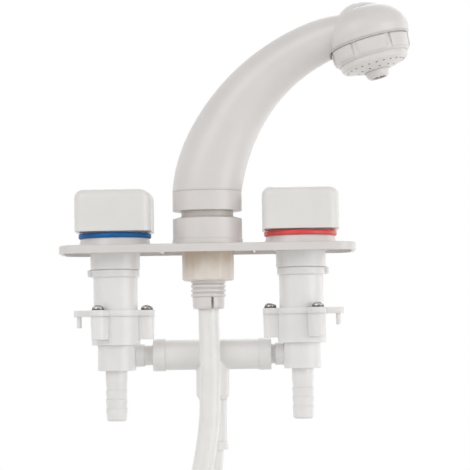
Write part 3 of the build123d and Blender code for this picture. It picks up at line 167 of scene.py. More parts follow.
class Board:
    """The nodes of one material or of the sky. Every node comes through node().

    Attributes:
        RAYS: How many rays feel out a crevice or an edge.
        SHUT: The share of open air at which a point lies deep in a crevice.
        OPEN: The share of open air from which a face counts as open.
    """

    RAYS: ClassVar[int] = 6
    SHUT: ClassVar[float] = 0.3
    OPEN: ClassVar[float] = 0.88

    def __init__(self, owner: bpy.types.Material | bpy.types.World) -> None:
        """Clears the owner's nodes and keeps its tree.

        Args:
            owner: The material or the sky that the nodes are for.
        """
        owner.use_nodes = True
        self.tree = owner.node_tree
        self.tree.nodes.clear()

    def node(
        self,
        kind: str,
        settings: Mapping[str, Any] | None = None,
        values: Mapping[Any, Any] | None = None,
        output: Any = 0,
    ) -> Tone:
        """Adds a node.

        Args:
            kind: The node's type.
            settings: Its properties, which are set first.
            values: Numbers or other nodes' outputs for its sockets, by name or place.
            output: The output that is wanted, by name or place.

        Returns:
            That output, or an end node's first input.
        """
        made = self.tree.nodes.new(kind)
        for key, setting in (settings or {}).items():
            setattr(made, key, setting)
        for key, value in (values or {}).items():
            if isinstance(value, Tone):
                self.tree.links.new(value.socket, made.inputs[key])
            else:
                made.inputs[key].default_value = value
        ends = made.outputs if len(made.outputs) else made.inputs
        return Tone(self, ends[output])

    def vector(self, operation: str, first: Any, second: Any) -> Tone:
        """Returns the result of one Vector Math node on two vectors."""
        return self.node("ShaderNodeVectorMath", {"operation": operation}, {0: first, 1: second})

    def length(self, vector: Tone) -> Tone:
        """Returns how long a vector is."""
        return self.node("ShaderNodeVectorMath", {"operation": "LENGTH"}, {0: vector}, "Value")

    def place(self, stretch: Point = (1.0, 1.0, 1.0)) -> Tone:
        """Returns the point on the piece in metres, each axis times its stretch."""
        return self.vector("MULTIPLY", self.node("ShaderNodeTexCoord", output="Object"), stretch)

    def noise(self, spot: Tone, size: float, detail: float = 2.0, bend: float = 0.0) -> Tone:
        """Adds soft noise.

        Args:
            spot: Where on the piece it is read.
            size: How large its patches are, in metres.
            detail: How many finer layers it has.
            bend: How much it is distorted.

        Returns:
            Noise from 0 to 1.
        """
        return self.node(
            "ShaderNodeTexNoise",
            values={"Vector": spot, "Scale": 1 / size, "Detail": detail, "Distortion": bend},
        )

    def mixed(self, mask: Operand, first: Any, second: Any) -> Tone:
        """Returns the first colour where the mask is 0 and the second where it is 1."""
        colours = {0: mask, 6: first, 7: second}
        return self.node("ShaderNodeMix", {"data_type": "RGBA"}, colours, 2)

    def crevice(self, reach: float) -> Tone:
        """Feels out seams and holes.

        Args:
            reach: How narrow a gap is that counts as one, in metres.

        Returns:
            1 in narrower gaps and 0 on open faces.
        """
        open_air = self.node(
            "ShaderNodeAmbientOcclusion", {"samples": self.RAYS}, {"Distance": reach}, "AO"
        )
        return 1.0 - open_air.between(self.SHUT, self.OPEN)

    def height(self) -> Tone:
        """Returns how high on the piece a point is, in metres."""
        return self.node("ShaderNodeSeparateXYZ", values={0: self.place()}, output="Z")

    def distance(self, centre: Vector, axis: Vector) -> Tone:
        """Returns how far a point is from an axis through a centre, in metres."""
        arm = self.vector("SUBTRACT", self.place(), centre)
        return self.length(self.vector("CROSS_PRODUCT", arm, axis))

    def relief(self, height: Tone, depth: float, edge: float = 0.0) -> Tone:
        """Adds a relief to the surface.

        Args:
            height: The relief, in shares of its depth.
            depth: That depth in metres, or 1 where the relief is in metres already.
            edge: The radius that sharp edges are softened with, in metres.

        Returns:
            The surface's direction with the relief on it.
        """
        values: dict[Any, Any] = {"Strength": 1.0, "Distance": depth, "Height": height}
        if edge:
            values["Normal"] = self.node(
                "ShaderNodeBevel", {"samples": self.RAYS}, {"Radius": edge}
            )
        return self.node("ShaderNodeBump", values=values)

    def surface(self, values: Mapping[str, Any]) -> None:
        """Ends the board in one surface with these values."""
        shader = self.node("ShaderNodeBsdfPrincipled", values=values)
        self.node("ShaderNodeOutputMaterial", values={"Surface": shader})


@dataclass(frozen=True)
class Finish:
    """What every finish has.

    Attributes:
        name: Its name, which also names its material.
        colour: Its colour in plain light.
        roughness: How rough it is, from 0 to 1.
    """

    name: str
    colour: Colour
    roughness: float

    def material(self) -> bpy.types.Material:
        """Makes the finish's material on its first use.

        Returns:
            The material, the same one each time.
        """
        title = f"{self.name}_finish"
        known = bpy.data.materials.get(title)
        if known is None:
            known = bpy.data.materials.new(title)
            self.lay(Board(known))
        return known

    def lay(self, board: Board) -> None:
        """Lays the finish's nodes.

        Args:
            board: The material's board, which is empty.
        """
        raise NotImplementedError


@dataclass(frozen=True)
class Plastic(Finish):
    """What every plastic has: light goes a little way into it, and its skin may be clear.

    Attributes:
        milk: How much light goes into the plastic and out again, from 0 to 1.
        reach: How far that light goes, in metres.
        bleed: How far its red, green and blue go, as shares of that.
        coat: The weight of a clear, glossier skin.
        coat_roughness: How rough that skin is.
    """

    milk: float = 0.0
    reach: float = 0.002
    bleed: Point = (1.0, 0.92, 0.85)
    coat: float = 0.0
    coat_roughness: float = 0.3

    def depth(self) -> dict[str, Any]:
        """Gathers what the light in the plastic and its clear skin need.

        Returns:
            The surface's values for both, by the names of its sockets.
        """
        return {
            "Subsurface Weight": self.milk,
            "Subsurface Radius": self.bleed,
            "Subsurface Scale": self.reach,
            "Coat Weight": self.coat,
            "Coat Roughness": self.coat_roughness,
        }


@dataclass(frozen=True)
class MouldedPlastic(Plastic):
    """A plastic from a mould: its tone drifts, its skin is finely pitted and shows how it flowed.

    Attributes:
        drift: The share by which the tone wanders.
        patch: The size of the patches that it wanders in, in metres.
        drift_share: How much of the tone these patches make, the rest being flow marks.
        flow: The width of the flow marks, in metres.
        flow_stretch: How much the marks are squeezed up and down; less makes them longer.
        flow_depth: How deep they are, in metres.
        flow_roughness: How much rougher the marks are than what lies between them.
        sink: The size of the sink marks over thick walls, in metres.
        sink_depth: How deep they are, in metres.
        grain: The size of the skin's pits, in metres.
        grain_depth: How deep they are, in metres.
        edge: The radius of its edges, in metres.
        shine: How strongly its skin mirrors, 0.5 being plain plastic.
        dust: How dark its seams and holes are, from 0 to 1, as painted shade and grime.
        dust_colour: The share of its colour that is left where the painted shade and grime are
            darkest.
        dust_roughness: How much rougher its seams and holes are.
        seam: How narrow a seam or hole is that gets painted shade and grime, in metres.
    """

    drift: float = 0.025
    patch: float = 0.03
    drift_share: float = 0.75
    flow: float = 0.003
    flow_stretch: float = 0.12
    flow_depth: float = 0.000012
    flow_roughness: float = 0.14
    sink: float = 0.012
    sink_depth: float = 0.00003
    grain: float = 0.0006
    grain_depth: float = 0.00001
    edge: float = 0.0004
    shine: float = 0.5
    dust: float = 0.45
    dust_colour: float = 0.05
    dust_roughness: float = 0.2
    seam: float = 0.0012

    def seams(self, board: Board) -> Tone:
        """Returns 1 in seams and holes, where shade is painted and grime gathers, and 0 elsewhere.
        """
        return board.crevice(self.seam)

    def aged(self, board: Board, clean: Tone) -> Tone:
        """Returns the clean colour as it changes with height, which it does in few plastics."""
        return clean

    def lay(self, board: Board) -> None:
        """Lays a drifting tone, flow marks, sink marks, fine pits, and painted shade and grime in
        seams.

        Args:
            board: The material's board, which is empty.
        """
        drift = board.noise(board.place(), self.patch, detail=3.0, bend=0.4)
        flow = board.noise(
            board.place((1.0, 1.0, self.flow_stretch)), self.flow, detail=3.0, bend=0.6
        )
        pits = board.noise(board.place(), self.grain, detail=1.0)
        sink = board.noise(board.place(), self.sink)
        tone = drift.between(*SOFT_STEP) * self.drift_share + flow * (1 - self.drift_share)
        clean = self.aged(board, board.mixed(
            tone, linear(self.colour, 1 - self.drift), linear(self.colour, 1 + self.drift)
        ))
        # Painted shade, with some grime: the colour darkens where little open air reaches.
        seams = self.seams(board)
        dusty = linear(self.colour, self.dust_colour)
        marked = self.roughness + (flow - 0.5) * self.flow_roughness
        relief = pits * self.grain_depth + sink * self.sink_depth + flow * self.flow_depth
        board.surface({
            "Base Color": board.mixed(seams * self.dust, clean, dusty),
            "Roughness": marked + seams * self.dust_roughness,
            "Normal": board.relief(relief, 1.0, self.edge),
            "Specular IOR Level": self.shine,
            **self.depth(),
        })


@dataclass(frozen=True)
class SprayPlastic(MouldedPlastic):
    """The plastic of the spray face, whose holes are darkened with painted shade and grime, and
    whose rim is not.

    Attributes:
        holed: The radius round the head's axis that the holes lie in, in metres.
    """

    holed: float = 0.0185

    def seams(self, board: Board) -> Tone:
        """Returns 1 in the holes and slots, where shade is painted, and 0 elsewhere."""
        outside = board.distance(HEAD_CENTRE, HEAD_AXIS).between(self.holed, self.holed + MM)
        return board.crevice(self.seam) * (1.0 - outside)


@dataclass(frozen=True)
class YellowedResin(MouldedPlastic):
    """The nut's resin, darker and warmer near the plate, paler lower down, with patchy edges.

    Attributes:
        pale: Its colour lower down.
        low: The height under which it is pale, in metres.
        high: The height over which it has its darker, warmer colour, in metres.
        spot: The size of the patches that shift where the two colours meet, in metres.
        spot_stretch: How much they are squeezed up and down; less makes them longer.
        spot_shift: How far they shift these heights, in metres.
    """

    pale: Colour = (236, 228, 220)
    low: float = -0.0155
    high: float = 0.0
    spot: float = 0.009
    spot_stretch: float = 0.5
    spot_shift: float = 0.016

    def aged(self, board: Board, clean: Tone) -> Tone:
        """Fades the clean colour in patches towards the nut's lower end.

        Args:
            board: The material's board.
            clean: The darker, warmer colour of the resin near the plate.

        Returns:
            That colour above and the pale one below.
        """
        patches = board.noise(board.place((1.0, 1.0, self.spot_stretch)), self.spot, bend=0.4)
        shifted = board.height() + (patches - 0.5) * self.spot_shift
        return board.mixed(shifted.between(self.low, self.high), linear(self.pale), clean)


@dataclass(frozen=True)
class ExtrudedVinyl(Plastic):
    """Soft hose vinyl: milky, with long faint lines from the die and slight unevenness.

    Attributes:
        cloud: The size of the clouds in its tone, in metres.
        cloud_share: How much of the tone they make, the rest being die lines.
        shades: The shares of its colour that the tone wanders between.
        line: The width of the die lines, in metres.
        line_stretch: How much they are squeezed up and down; less makes them longer.
        line_depth: How deep they are, in metres.
        line_roughness: How much rougher they are than what lies between them.
        wall: The size of the unevenness of its wall, in metres.
        wall_depth: How deep that is, in metres.
    """

    cloud: float = 0.02
    cloud_share: float = 0.8
    shades: tuple[float, float] = (0.96, 1.02)
    line: float = 0.0016
    line_stretch: float = 0.06
    line_depth: float = 0.00002
    line_roughness: float = 0.16
    wall: float = 0.009
    wall_depth: float = 0.00005

    def lay(self, board: Board) -> None:
        """Lays cloudy tone, die lines and a slightly uneven wall.

        Args:
            board: The material's board, which is empty.
        """
        cloud = board.noise(board.place(), self.cloud, detail=3.0, bend=0.5)
        lines = board.noise(board.place((1.0, 1.0, self.line_stretch)), self.line)
        wall = board.noise(board.place(), self.wall)
        tone = cloud.between(*SOFT_STEP) * self.cloud_share + lines * (1 - self.cloud_share)
        dark, light = (linear(self.colour, shade) for shade in self.shades)
        board.surface({
            "Base Color": board.mixed(tone, dark, light),
            "Roughness": self.roughness + (lines - 0.5) * self.line_roughness,
            "Normal": board.relief(wall * self.wall_depth + lines * self.line_depth, 1.0),
            **self.depth(),
        })


@dataclass(frozen=True)
class TieNylon(Plastic):
    """A nylon strap with ribs across its band and a milky, waxy skin.

    Attributes:
        rib: How far apart the ribs are, in metres.
        rib_depth: How deep they are, in metres.
        rib_roughness: How much rougher it is between them.
        cloud: The size of the clouds in its tone, in metres.
        shades: The shares of its colour that the tone wanders between.
        skin: The size of the waxy skin's grain, in metres.
        skin_depth: How deep that is, in metres.
        edge: The radius of its edges, in metres.
    """

    rib: float = 0.0015
    rib_depth: float = 0.00015
    rib_roughness: float = 0.15
    cloud: float = 0.006
    shades: tuple[float, float] = (0.94, 1.02)
    skin: float = 0.0003
    skin_depth: float = 0.00001
    edge: float = 0.0003

    def lay(self, board: Board) -> None:
        """Lays the ribs, a cloudy tone and a fine skin.

        Args:
            board: The material's board, which is empty.
        """
        ribs = board.node(
            "ShaderNodeTexWave",
            {"bands_direction": "DIAGONAL"},
            {
                "Vector": board.place((1.0, 1.0, 0.0)),
                "Scale": 2 * math.pi / (WAVE_TURN * self.rib),
            },
            "Fac",
        )
        cloud = board.noise(board.place(), self.cloud, detail=3.0, bend=0.4)
        skin = board.noise(board.place(), self.skin, detail=1.0)
        dark, light = (linear(self.colour, shade) for shade in self.shades)
        relief = ribs * self.rib_depth + skin * self.skin_depth
        board.surface({
            "Base Color": board.mixed(cloud, dark, light),
            "Roughness": self.roughness + (1.0 - ribs) * self.rib_roughness,
            "Normal": board.relief(relief, 1.0, self.edge),
            **self.depth(),
        })


@dataclass(frozen=True)
class TurnedMetal(Finish):
    """A metal turned on a lathe or drawn as wire, plated or bare.

    Attributes:
        lines: The width of its tool marks along Z, in metres.
        line_stretch: How much they are squeezed round the piece; less makes them longer.
        line_depth: How deep they are, in metres.
        line_roughness: How much rougher they are than what lies between them.
        patch: The size of its dull patches, in metres.
        patch_step: Where their noise starts to count and where it counts in full.
        patch_roughness: How much rougher they are.
        tarnish: How far darker they are, as a share.
        edge: The radius of its edges, in metres.
    """

    lines: float = 0.0001
    line_stretch: float = 0.05
    line_depth: float = 0.000004
    line_roughness: float = 0.08
    patch: float = 0.004
    patch_step: tuple[float, float] = (0.45, 0.75)
    patch_roughness: float = 0.12
    tarnish: float = 0.12
    edge: float = 0.0001

    def lay(self, board: Board) -> None:
        """Lays tool marks round the piece and duller patches.

        Args:
            board: The material's board, which is empty.
        """
        round_it = board.place((self.line_stretch, self.line_stretch, 1.0))
        marks = board.noise(round_it, self.lines)
        patches = board.noise(board.place(), self.patch, detail=4.0, bend=0.8)
        dull = patches.between(*self.patch_step)
        worn = self.roughness + dull * self.patch_roughness
        board.surface({
            "Base Color": board.mixed(
                dull, linear(self.colour), linear(self.colour, 1 - self.tarnish)
            ),
            "Metallic": 1.0,
            "Roughness": worn + (marks - 0.5) * self.line_roughness,
            "Normal": board.relief(marks, self.line_depth, self.edge),
        })


@dataclass(frozen=True)
class ScrewSteel(Finish):
    """Bright plated steel with painted shade round the rims of the heads and in the recesses.

    Attributes:
        rim: The height at which the painted shade on the heads is darkest, in metres.
        crown: The height from which they have no painted shade, in metres.
        dark: The share of its colour that is left where the painted shade is darkest.
        recess: How narrow a recess is that gets painted shade, in metres.
        wear: The size of the driver's marks, in metres.
        wear_shift: How far they shift the edge of the painted shade at the rims, in metres.
        wear_depth: How deep they are, in metres.
        wear_roughness: How much rougher they are.
        edge: The radius of its edges, in metres.
    """

    rim: float = -0.0334
    crown: float = -0.0311
    dark: float = 0.05
    recess: float = 0.0008
    wear: float = 0.0009
    wear_shift: float = 0.0009
    wear_depth: float = 0.00003
    wear_roughness: float = 0.1
    edge: float = 0.0001

    def lay(self, board: Board) -> None:
        """Lays the bright crowns, painted shade on the rims and in the recesses, and the wear of a
        driver.

        Args:
            board: The material's board, which is empty.
        """
        wear = board.noise(board.place(), self.wear, detail=3.0, bend=0.6)
        shifted = board.height() + (wear - 0.5) * self.wear_shift
        # Painted shade: the heads darken towards their rims and in their recesses.
        bright = shifted.between(self.rim, self.crown) * (1.0 - board.crevice(self.recess))
        dark, light = linear(self.colour, self.dark), linear(self.colour)
        board.surface({
            "Base Color": board.mixed(bright, dark, light),
            "Metallic": 1.0,
            "Roughness": self.roughness + wear * self.wear_roughness,
            "Normal": board.relief(wear, self.wear_depth, self.edge),
        })


@dataclass(frozen=True)
class SealRubber(Finish):
    """Black moulded rubber with a dusty bloom.

    Attributes:
        bloom: The size of the patches of bloom, in metres.
        bloom_step: Where their noise starts to count and where it counts in full.
        bloom_lift: How much lighter they are than the rubber.
        bloom_roughness: How much rougher they are.
        skin: The size of the skin's grain, in metres.
        skin_depth: How deep that is, in metres.
    """

    bloom: float = 0.002
    bloom_step: tuple[float, float] = (0.45, 0.8)
    bloom_lift: float = 1.9
    bloom_roughness: float = 0.2
    skin: float = 0.00015
    skin_depth: float = 0.00001

    def lay(self, board: Board) -> None:
        """Lays bloom and a fine skin.

        Args:
            board: The material's board, which is empty.
        """
        bloom = board.noise(board.place(), self.bloom, detail=4.0, bend=0.5)
        dusty = bloom.between(*self.bloom_step)
        skin = board.noise(board.place(), self.skin)
        dark, light = linear(self.colour), linear(self.colour, self.bloom_lift)
        board.surface({
            "Base Color": board.mixed(dusty, dark, light),
            "Roughness": self.roughness + dusty * self.bloom_roughness,
            "Normal": board.relief(skin, self.skin_depth),
        })


@dataclass(frozen=True)
class LappedCeramic(Finish):
    """A white ceramic disc, ground flat and polished, with a few darker grains.

    Attributes:
        grain: The size of its grains, in metres.
        grain_step: Where their noise starts to count and where it counts in full.
        grain_shade: The share of its colour that they have.
        grain_roughness: How much rougher they are.
        grain_depth: How deep they are, in metres.
        edge: The radius of its edges, in metres.
        coat: The weight of its polish.
    """

    grain: float = 0.0003
    grain_step: tuple[float, float] = (0.62, 0.78)
    grain_shade: float = 0.8
    grain_roughness: float = 0.08
    grain_depth: float = 0.000002
    edge: float = 0.0001
    coat: float = 0.4

    def lay(self, board: Board) -> None:
        """Lays a polished white with fine grains.

        Args:
            board: The material's board, which is empty.
        """
        grains = board.noise(board.place(), self.grain)
        dark = linear(self.colour, self.grain_shade)
        board.surface({
            "Base Color": board.mixed(
                grains.between(*self.grain_step), linear(self.colour), dark
            ),
            "Roughness": self.roughness + grains * self.grain_roughness,
            "Normal": board.relief(grains, self.grain_depth, self.edge),
            "Coat Weight": self.coat,
        })


# Each plastic's seams and holes darken with painted shade and some grime, as far as its setting
# gives.
BODY = MouldedPlastic("body_plastic", (229, 225, 223), 0.44, milk=0.05, coat=0.5, dust=0.06)
SHELL = replace(BODY, name="shell_plastic", edge=0.0024)
TRIM = replace(BODY, name="trim_plastic", dust=0.8)
KNOB = MouldedPlastic(
    "knob_plastic", (241, 239, 236), 0.32, milk=0.25, reach=0.004, coat=0.2, dust=0.0
)
BUTTON = MouldedPlastic("button_plastic", (236, 234, 231), 0.3, milk=0.1, coat=0.2)
SPRAY = SprayPlastic("spray_plastic", (232, 229, 226), 0.34, coat=0.1, dust=1.0, seam=0.0024)
BLUE = MouldedPlastic(
    "blue_ring", (30, 102, 168), 0.45, drift=0.12, edge=0.0002, shine=0.2, dust=0.05
)
RED = MouldedPlastic(
    "red_ring", (224, 74, 72), 0.4, drift=0.12, coat=0.3, edge=0.0002, shine=0.4, dust=0.05
)
RESIN = MouldedPlastic(
    "valve_resin", (246, 244, 243), 0.34, milk=0.3, reach=0.004, coat=0.3, dust=0.12
)
CREAM = YellowedResin("nut_resin", (210, 194, 175), 0.4, drift=0.04, milk=0.2)
SLIDE = MouldedPlastic("slide_resin", (220, 216, 210), 0.3, milk=0.2)
STRAP = TieNylon("tie_nylon", (240, 239, 235), 0.36, milk=0.4, bleed=(1.0, 0.2, 0.1))
VINYL = ExtrudedVinyl(
    "hose_vinyl",
    (247, 246, 243),
    0.3,
    milk=0.35,
    reach=0.003,
    bleed=(1.0, 1.0, 0.95),
    coat=0.15,
    coat_roughness=0.2,
)
CHROME = ScrewSteel("screw_steel", (206, 204, 201), 0.1)
BRASS = TurnedMetal("spindle_brass", (205, 172, 104), 0.26)
WIRE = TurnedMetal("spring_steel", (178, 178, 180), 0.24)
RUBBER = SealRubber("seal_rubber", (30, 30, 31), 0.42)
CERAMIC = LappedCeramic("disc_ceramic", (232, 229, 222), 0.14)


def placed(name: str, data: bpy.types.ID) -> bpy.types.Object:
    """Puts an object into the scene.

    Args:
        name: Its name.
        data: Its mesh, curve, lamp or camera.

    Returns:
        The object.
    """
    item = bpy.data.objects.new(name, data)
    bpy.context.scene.collection.objects.link(item)
    return item


def meshed(name: str, shape: bmesh.types.BMesh) -> bpy.types.Mesh:
    """Turns a shape into a mesh.

    Args:
        name: The mesh's name.
        shape: The shape, which is used up.

    Returns:
        The mesh.
    """
    mesh = bpy.data.meshes.new(name)
    shape.to_mesh(mesh)
    shape.free()
    return mesh


def dress(node: str, finish: Finish) -> None:
    """Gives a node of the frame its finish.

    Args:
        node: The node's name.
        finish: What it is made of.
    """
    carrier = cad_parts[node]
    if not carrier.material_slots:
        carrier.data.materials.append(finish.material())
    for held in carrier.material_slots:
        held.material = finish.material()
    log.info("dressed %s in %s", node, finish.name)


def new_piece(
    name: str,
    data: bpy.types.ID,
    finish: Finish,
    body: str,
    stands_for: Sequence[str] = (),
) -> bpy.types.Object:
    """Puts a piece in the scene, on its body.

    Args:
        name: The piece's name.
        data: Its mesh or curve, in the frame's metres.
        finish: What it is made of, which gives the piece its material.
        body: The body that it moves with.
        stands_for: The nodes that it is shown in place of.

    Returns:
        The piece.
    """
    piece = placed(name, data)
    data.materials.append(finish.material())
    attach(piece, body)
    if stands_for:
        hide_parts(*stands_for)
    log.info("made %s on %s", name, body)
    return piece


class Side(Enum):
    """Which of the two taps a valve is, and which way it faces."""

    COLD = ("cold", -1, BLUE)
    HOT = ("hot", 1, RED)

    @property
    def label(self) -> str:
        """Returns the first word of the names of the side's nodes."""
        return self.value[0]

    @property
    def sign(self) -> int:
        """Returns -1 on the left and 1 on the right."""
        return self.value[1]

    @property
    def ring(self) -> Finish:
        """Returns the colour of the side's index ring."""
        return self.value[2]


@dataclass
class PhotoCamera:
    """The camera, placed and turned as the photograph's was.

    Attributes:
        eye: Where it stands, in metres.
        pitch: How far it looks up, in degrees.
        yaw: How far it looks to the right, in degrees.
        roll: How far it leans, in degrees.
        lens: Its focal length, in millimetres.
        sensor: The width of its sensor, in millimetres.
    """

    eye: Point = (0.0290, -1.2, -0.0547)
    pitch: float = 3.117
    yaw: float = -0.6
    roll: float = 0.871
    lens: float = 153.55
    sensor: float = 36.0

    def build(self) -> None:
        """Makes the camera and gives it to the scene."""
        pitch, yaw, roll = (math.radians(turn) for turn in (self.pitch, self.yaw, self.roll))
        level = Vector((math.sin(yaw), math.cos(yaw), 0.0))
        ahead = level * math.cos(pitch) + Vector((0.0, 0.0, math.sin(pitch)))
        across = Vector((math.cos(yaw), -math.sin(yaw), 0.0))
        upward = across.cross(ahead)
        right = across * math.cos(roll) - upward * math.sin(roll)
        above = upward * math.cos(roll) + across * math.sin(roll)
        data = bpy.data.cameras.new("photo_camera")
        data.lens = self.lens
        data.sensor_width = self.sensor
        camera = placed("photo_camera", data)
        turn = Matrix((right, above, -ahead)).transposed()
        camera.matrix_world = Matrix.Translation(self.eye) @ turn.to_4x4()
        bpy.context.scene.camera = camera
        log.info("made the camera")


@dataclass
class Lamp:
    """A soft square lamp that looks at the mixer.

    Attributes:
        name: Its name.
        spot: Where it stands, in metres.
        size: The length of its sides, in metres.
        power: Its power, in watts.
    """

    name: str
    spot: Point
    size: float
    power: float

    def build(self, target: Vector) -> None:
        """Makes the lamp and turns it to what it lights.

        Args:
            target: The point that it looks at, in metres.
        """
        data = bpy.data.lights.new(self.name, "AREA")
        data.size = self.size
        data.energy = self.power
        lamp = placed(self.name, data)
        lamp.location = self.spot
        lamp.rotation_mode = "QUATERNION"
        lamp.rotation_quaternion = (target - Vector(self.spot)).to_track_quat("-Z", "Y")
        lamp.visible_camera = False


@dataclass
class Studio:
    """A white room: soft lamps, an even sky and a pale floor.

    Attributes:
        sky: The strength of the light from all round.
        sky_colour: The colour of that light.
        white: The colour that the sky and the floor's glow show.
        floor_colour: The floor's colour.
        floor_roughness: How rough the floor is, from 0 to 1.
        floor_radius: The floor's radius, in metres.
        floor_sides: How many sides the round floor has.
        floor_gap: How far under the lowest point of the hose it lies, in metres.
        floor_lift: How much lighter the camera sees the floor than it is lit.
        floor_fade: How much lighter again it is seen at its rim, where it meets the sky.
        fade_start: How far from the middle this starts, in metres.
        fade_end: Where it is complete, as a share of the floor's radius.
        aim_lift: How far over the middle of the mixer's box the lamps look, in metres.
        lamps: The lamps.
    """

    sky: float = 0.46
    sky_colour: Colour = (255, 254, 252)
    white: Colour = (255, 255, 255)
    floor_colour: Colour = (243, 243, 242)
    floor_roughness: float = 0.5
    floor_radius: float = 2.2
    floor_sides: int = 96
    floor_gap: float = 0.0005
    floor_lift: float = 0.16
    floor_fade: float = 0.7
    fade_start: float = 0.3
    fade_end: float = 0.8
    aim_lift: float = 0.08
    lamps: list[Lamp] = field(default_factory=lambda: [
        Lamp("key_lamp", (-1.1, -1.5, 1.0), 1.2, 9.0),
        Lamp("left_lamp", (-1.6, -0.9, 0.1), 1.2, 2.8),
        Lamp("fill_lamp", (1.5, -1.0, 0.3), 1.2, 7.0),
        Lamp("low_lamp", (1.6, -0.7, -0.45), 1.2, 4.5),
        Lamp("back_lamp", (0.5, 1.5, 1.2), 1.2, 6.0),
        Lamp("rim_lamp", (1.5, 0.9, 0.3), 1.2, 3.4),
    ])

    def build(self) -> None:
        """Makes the room and sets how the picture is shown."""
        bpy.context.scene.view_settings.view_transform = "Standard"
        self.build_sky()
        self.build_floor()
        target = (CAD_BOX[0] + CAD_BOX[1]) / 2 + Vector((0.0, 0.0, self.aim_lift))
        for lamp in self.lamps:
            lamp.build(target)
        log.info("made the studio")

    def seen(self, board: Board) -> Tone:
        """Tells what is seen from what only lights the mixer.

        Args:
            board: The board of the sky or of the floor.

        Returns:
            1 for what the camera sees, by itself, in a mirror or through glass, or else 0.
        """
        camera, mirror, glass = (
            board.node("ShaderNodeLightPath", output=f"Is {kind} Ray")
            for kind in ("Camera", "Glossy", "Transmission")
        )
        return (camera + mirror + glass).between(0.0, 1.0)

    def build_sky(self) -> None:
        """Makes an even sky that shows as plain white behind the object."""
        world = bpy.data.worlds.new("white_room")
        bpy.context.scene.world = world
        board = Board(world)
        lit = board.node(
            "ShaderNodeBackground",
            values={"Color": linear(self.sky_colour), "Strength": self.sky},
        )
        shown = board.node(
            "ShaderNodeBackground", values={"Color": linear(self.white), "Strength": 1.0}
        )
        sky = board.node("ShaderNodeMixShader", values={0: self.seen(board), 1: lit, 2: shown})
        board.node("ShaderNodeOutputWorld", values={"Surface": sky})

    def build_floor(self) -> None:
        """Makes a round pale floor, see-through from below, under the lowest turn of the hose."""
        shape = bmesh.new()
        bmesh.ops.create_circle(
            shape, cap_ends=True, segments=self.floor_sides, radius=self.floor_radius
        )
        height = CAD_BOX[0].z - self.floor_gap
        bmesh.ops.translate(shape, verts=shape.verts, vec=(0.0, 0.0, height))
        floor = placed("floor", meshed("floor", shape))
        finish = bpy.data.materials.new("pale_floor")
        board = Board(finish)
        matt = board.node(
            "ShaderNodeBsdfDiffuse",
            values={"Color": linear(self.floor_colour), "Roughness": self.floor_roughness},
        )
        reach = board.length(board.place())
        far = reach.between(self.fade_start, self.fade_end * self.floor_radius)
        lift = self.floor_lift + far * self.floor_fade
        glow = board.node(
            "ShaderNodeEmission",
            values={"Color": linear(self.white), "Strength": self.seen(board) * lift},
        )
        top = board.node("ShaderNodeAddShader", values={0: matt, 1: glow})
        under = board.node("ShaderNodeNewGeometry", output="Backfacing")
        clear = board.node("ShaderNodeBsdfTransparent")
        both = board.node("ShaderNodeMixShader", values={0: under, 1: top, 2: clear})
        board.node("ShaderNodeOutputMaterial", values={"Surface": both})
        floor.data.materials.append(finish)


@dataclass
class ShowerHose:
    """The hose: down out of the shank, round a tied coil and up into the ferrule.

    Attributes:
        radius: The hose's radius, in metres.
        length: Its length from the shank to the ferrule, in metres.
        drop: The route's points from the shank to the coil, in metres.
        rise: The route's points from the coil to the ferrule, in metres.
        coil_middle: The coil's axis across and up, in metres.
        coil_radius: The radius at the middle of its turns, in metres.
        coil_front: Where the first turn starts from front to back, in metres.
        coil_pitch: How far apart its turns are, in metres.
        coil_turns: How many turns it has.
        turn_points: How many of the route's points a turn has.
        line_steps: How finely the line is divided between two points.
        round_steps: How finely the hose's section is divided.
    """

    radius: float = 0.0062
    length: float = 1.444
    drop: Sequence[Point] = (
        (0.0, 0.0, -0.03),
        (0.0, 0.0, -0.042),
        (0.0003, -0.0025, -0.056),
        (0.0005, -0.0047, -0.070),
        (0.0004, -0.0056, -0.086),
        (-0.0005, -0.0065, -0.103),
        (-0.0032, -0.0078, -0.1215),
        (-0.0079, -0.0094, -0.142),
        (-0.0137, -0.0112, -0.165),
        (-0.020, -0.0128, -0.189),
        (-0.0259, -0.0138, -0.211),
        (-0.029, -0.014, -0.230),
    )
    rise: Sequence[Point] = (
        (-0.0682, 0.02285, -0.193),
        (-0.047, 0.0225, -0.1895),
        (-0.0277, 0.0207, -0.180),
        (-0.0124, 0.018, -0.1652),
        (-0.0024, 0.0154, -0.1464),
        (0.0015, 0.014, -0.1256),
        (0.0015, 0.014, -0.112),
    )
    coil_middle: tuple[float, float] = (-0.091, -0.255)
    coil_radius: float = 0.062
    coil_front: float = -0.014
    coil_pitch: float = 0.0134
    coil_turns: float = 2.75
    turn_points: int = 16
    line_steps: int = 8
    round_steps: int = 7

    def coil(self) -> list[Point]:
        """Winds the route round the coil.

        Returns:
            Its points there, a little outside the turns, because the line cuts inside them.
        """
        step = 2 * math.pi / self.turn_points
        outer = self.coil_radius / math.cos(step / 2)
        points = []
        for index in range(-1, round(self.coil_turns * self.turn_points) + 1):
            angle = (index + 0.5) * step
            share = min(max(angle / (2 * math.pi), 0.0), self.coil_turns)
            points.append((
                self.coil_middle[0] + outer * math.cos(angle),
                self.coil_front + self.coil_pitch * share,
                self.coil_middle[1] - outer * math.sin(angle),
            ))
        return points

    def build(self) -> None:
        """Makes the hose as one cord and dresses the pieces that go with it."""
        route = [*self.drop, *self.coil(), *self.rise]
        line = bpy.data.curves.new("shower_hose", "CURVE")
        line.dimensions = "3D"
        spline = line.splines.new("NURBS")
        spline.points.add(len(route) - 1)
        for place, point in zip(spline.points, route):
            place.co = (*point, 1.0)
        spline.order_u = 3
        spline.use_endpoint_u = True
        spline.resolution_u = self.line_steps
        spline.use_smooth = True
        line.bevel_depth = self.radius
        line.bevel_resolution = self.round_steps
        hose = new_piece(
            "shower_hose", line, VINYL, "base", ("hose_drop", "hose_coil", "hose_return")
        )
        dress("coil_tie", STRAP)
        dress("hose_upper", VINYL)


